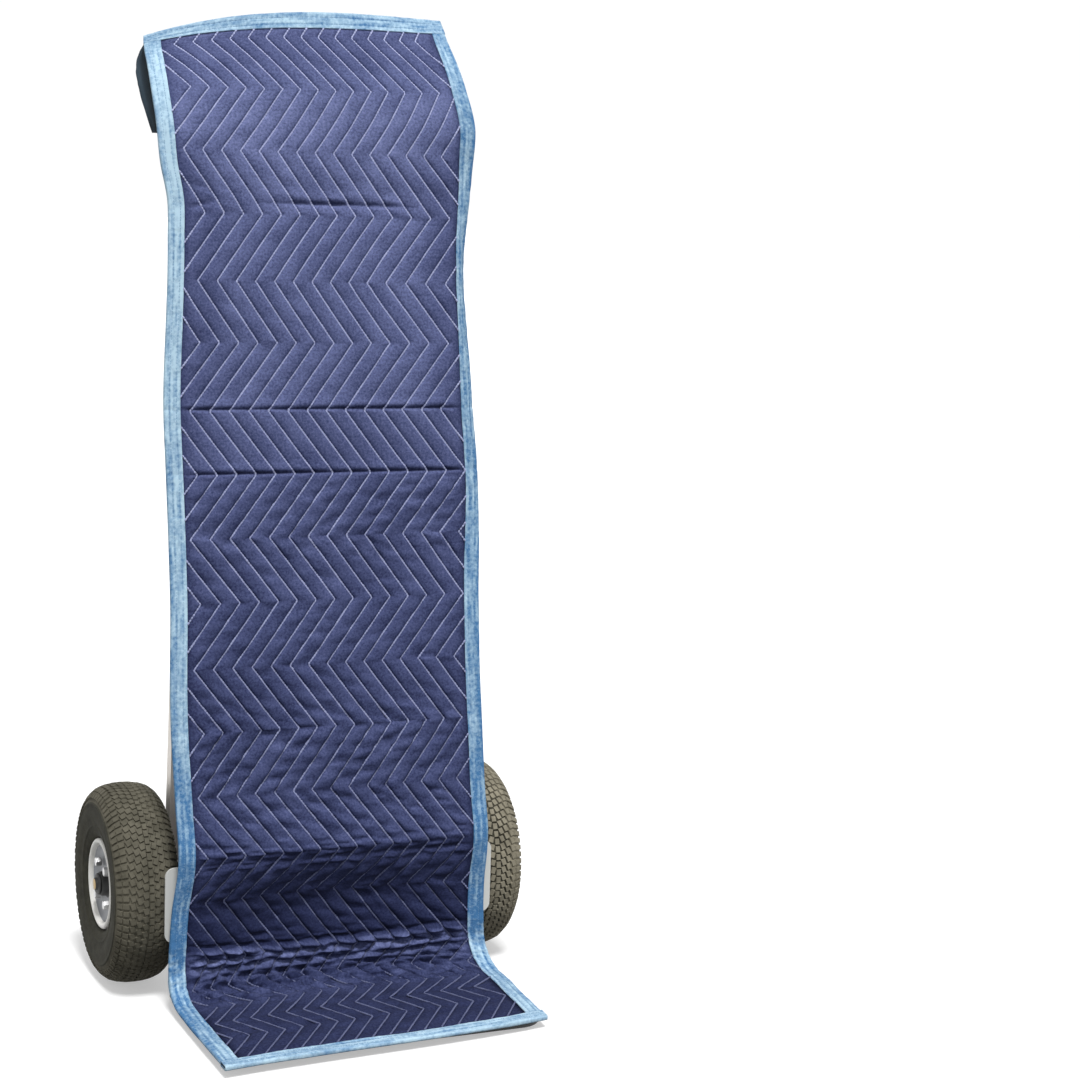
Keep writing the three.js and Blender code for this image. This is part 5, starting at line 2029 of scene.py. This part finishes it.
    def build_rim(self) -> Object:
        """Rim with a grey dish and a pale lip.

        Returns:
            The rim.
        """
        piece = self.turned(f"rim_{self.side.label}_dish", self.RIM_PROFILE, RIM_DISH)
        self.dress_by_radius(piece, ((*self.LIP_BAND, RIM_LIP), (*self.BOSS_BAND, HUB_BLACK)))
        return piece

    def build_hub(self) -> Object:
        """Black hub cap with a brass middle.

        Returns:
            The hub cap.
        """
        piece = self.turned(f"hub_{self.side.label}_cap", self.HUB_PROFILE, HUB_BLACK, closed=False)
        self.dress_by_radius(piece, ((*self.BRASS_BAND, BRASS),))
        return piece

    def build_nuts(self) -> Object:
        """Hexagon nuts round the hub.

        Returns:
            The nuts as one piece.
        """
        around = np.array(self.NUT_ANGLES)
        spot = self.place(around, self.nut_radius, self.nut_place)
        normal = np.tile([float(self.side.value), 0.0, 0.0], (len(around), 1))
        return self.repeats.set_blocks(
            f"rim_{self.side.label}_nuts", spot, normal, self.forward(around), Corners=6, Taper=0.9,
            Size=self.NUT_SIZE, Turn=0.0, Spread=0.0, Seed=1, Finish=self.materials.get(STEEL))

    def build(self) -> None:
        """Builds the wheel's pieces and tells the frame about them."""
        label = self.side.label
        register(self.build_tyre(), f"tyre_{label}")
        register(self.build_tread())
        register(self.build_rim(), f"rim_{label}")
        register(self.build_nuts())
        register(self.build_hub(), f"hub_cap_{label}")


@dataclass
class Truck:
    """Frame of the hand truck: its CAD solids with their finishes."""

    materials: Materials
    nodes: dict[str, Object]

    FINISHES = (
        (ALUMINIUM, ("rail_left", "rail_right", "rear_brace_left", "rear_brace_right", "handle_bar")),
        (WING_METAL, ("axle_bracket_left", "axle_bracket_right")),
        (BLACK_STEEL, ("rail_foot_left", "rail_foot_right", "toe_plate")),
        (DARK_STEEL, ("cross_bar_1", "cross_bar_2", "cross_bar_3", "cross_bar_4", "axle_tube")),
        (STEEL, ("stub_axle_left", "stub_axle_right")),
    )

    def build(self) -> None:
        """Dresses every solid of the truck."""
        for finish, names in self.FINISHES:
            for name in names:
                mesh = self.nodes[name].data
                mesh.materials.clear()
                mesh.materials.append(self.materials.get(finish))
                LOG.info("%s: %s", name, finish.name)


@dataclass
class Studio:
    """Pale floor, soft light and the camera at the photograph's angle."""

    focal_pixels: float = 2381.0
    image_pixels: float = 1080.0
    sensor_mm: float = 36.0
    far_clip: float = 100.0
    camera_mm: tuple[float, float, float] = (-1038.0, -2856.2, 1091.8)
    yaw: float = math.radians(24.76)
    pitch: float = math.radians(-8.82)
    roll: float = math.radians(2.08)
    key_strength: float = 3.2
    key_softness: float = math.radians(14.0)
    key_turn: float = math.radians(-9.0)
    key_rise: float = math.radians(61.0)
    side_place: tuple[float, float, float] = (3.2, -1.6, 1.1)
    side_aim: tuple[float, float, float] = (0.2, 0.1, 0.4)
    side_size: float = 1.6
    side_power: float = 10.0
    horizon: float = 1.02
    overhead: float = 0.42
    sky_fade: Ease = (0.4, 0.13)
    ground_fade: Ease = (-0.3, -0.13)
    floor_colour: Colour = (0.64, 0.64, 0.64, 1.0)
    floor_roughness: float = 0.9
    floor_glow: float = 0.42
    floor_reach: float = 40.0

    def build_camera(self) -> None:
        """Makes the camera."""
        forward = Vector((math.sin(self.yaw) * math.cos(self.pitch),
                          math.cos(self.yaw) * math.cos(self.pitch), math.sin(self.pitch)))
        level = Vector((math.cos(self.yaw), -math.sin(self.yaw), 0.0))
        upright = level.cross(forward)
        right = level * math.cos(self.roll) + upright * math.sin(self.roll)
        up = upright * math.cos(self.roll) - level * math.sin(self.roll)
        data = bpy.data.cameras.new("Camera")
        data.sensor_width = self.sensor_mm
        data.lens = self.focal_pixels / self.image_pixels * self.sensor_mm
        data.clip_end = self.far_clip
        camera = add_object("Camera", data)
        place = Vector(self.camera_mm) + Vector((COVER_OFFSET_MM, FRAME_SHIFT_MM, 0.0))
        turn = Matrix((right, up, -forward)).transposed().to_4x4()
        camera.matrix_world = Matrix.Translation(place * MM) @ turn
        bpy.context.scene.camera = camera

    @staticmethod
    def add_light(data: bpy.types.Light, power: float, facing: Vector) -> Object:
        """Adds a light.

        Args:
            data: the light's data.
            power: its strength.
            facing: direction that it shines.

        Returns:
            The light.
        """
        data.energy = power
        light = add_object(data.name, data)
        light.rotation_mode = "QUATERNION"
        light.rotation_quaternion = facing.to_track_quat("-Z", "Y")
        return light

    def build_lights(self) -> None:
        """Makes the soft sun and the side fill."""
        sun = bpy.data.lights.new("Key", "SUN")
        sun.angle = self.key_softness
        turn, rise = self.key_turn, self.key_rise
        toward = Vector((math.sin(turn) * math.cos(rise), -math.cos(turn) * math.cos(rise), math.sin(rise)))
        self.add_light(sun, self.key_strength, -toward)
        fill = bpy.data.lights.new("Side", "AREA")
        fill.size = self.side_size
        side = self.add_light(fill, self.side_power, Vector(self.side_aim) - Vector(self.side_place))
        side.location = self.side_place

    def build_surround(self) -> None:
        """Makes the pale surround that darkens overhead and below."""
        world = bpy.data.worlds.new("Surround")
        world.use_nodes = True
        nodes = Nodes(world.node_tree)
        direction = nodes.add("ShaderNodeTexCoord").outputs["Generated"]
        rise = nodes.add("ShaderNodeSeparateXYZ", {0: direction}).outputs[2]
        above, below = nodes.ramp(rise, *self.sky_fade), nodes.ramp(rise, *self.ground_fade)
        low = nodes.math("MULTIPLY", below, self.horizon - self.overhead)
        shade = nodes.math("MULTIPLY", below, self.overhead)
        nodes.feed(world.node_tree.nodes["Background"],
                   {"Color": (1.0, 1.0, 1.0, 1.0), "Strength": nodes.raised(shade, above, low)})
        bpy.context.scene.world = world

    def build_floor(self) -> None:
        """Makes the floor."""
        material = bpy.data.materials.new("Pale Floor")
        material.use_nodes = True
        nodes = Nodes(material.node_tree)
        nodes.feed(material.node_tree.nodes["Principled BSDF"],
                   {"Base Color": self.floor_colour, "Roughness": self.floor_roughness,
                    "Emission Color": (1.0, 1.0, 1.0, 1.0), "Emission Strength": self.floor_glow})
        corners = self.floor_reach * np.array([(-1, -1, 0), (1, -1, 0), (1, 1, 0), (-1, 1, 0)])
        floor = make_piece("floor", corners, [(0, 1, 2, 3)], material, smooth=False)
        floor.visible_diffuse = False

    def build(self) -> None:
        """Builds the whole studio."""
        self.build_camera()
        self.build_lights()
        self.build_surround()
        self.build_floor()
        bpy.context.scene.view_settings.view_transform = "Standard"


def main() -> None:
    """Builds the scene in order."""
    logging.basicConfig(level=logging.INFO, format="%(name)s: %(message)s")
    materials, repeats = Materials(Effects()), Repeats()
    Studio().build()
    Cover(HangingCloth(), materials, repeats).build()
    for side in Side:
        Wheel(side, materials, repeats).build()
    Truck(materials, frame["nodes"]).build()
    LOG.info("sizes written")


if __name__ == "__main__":
    main()
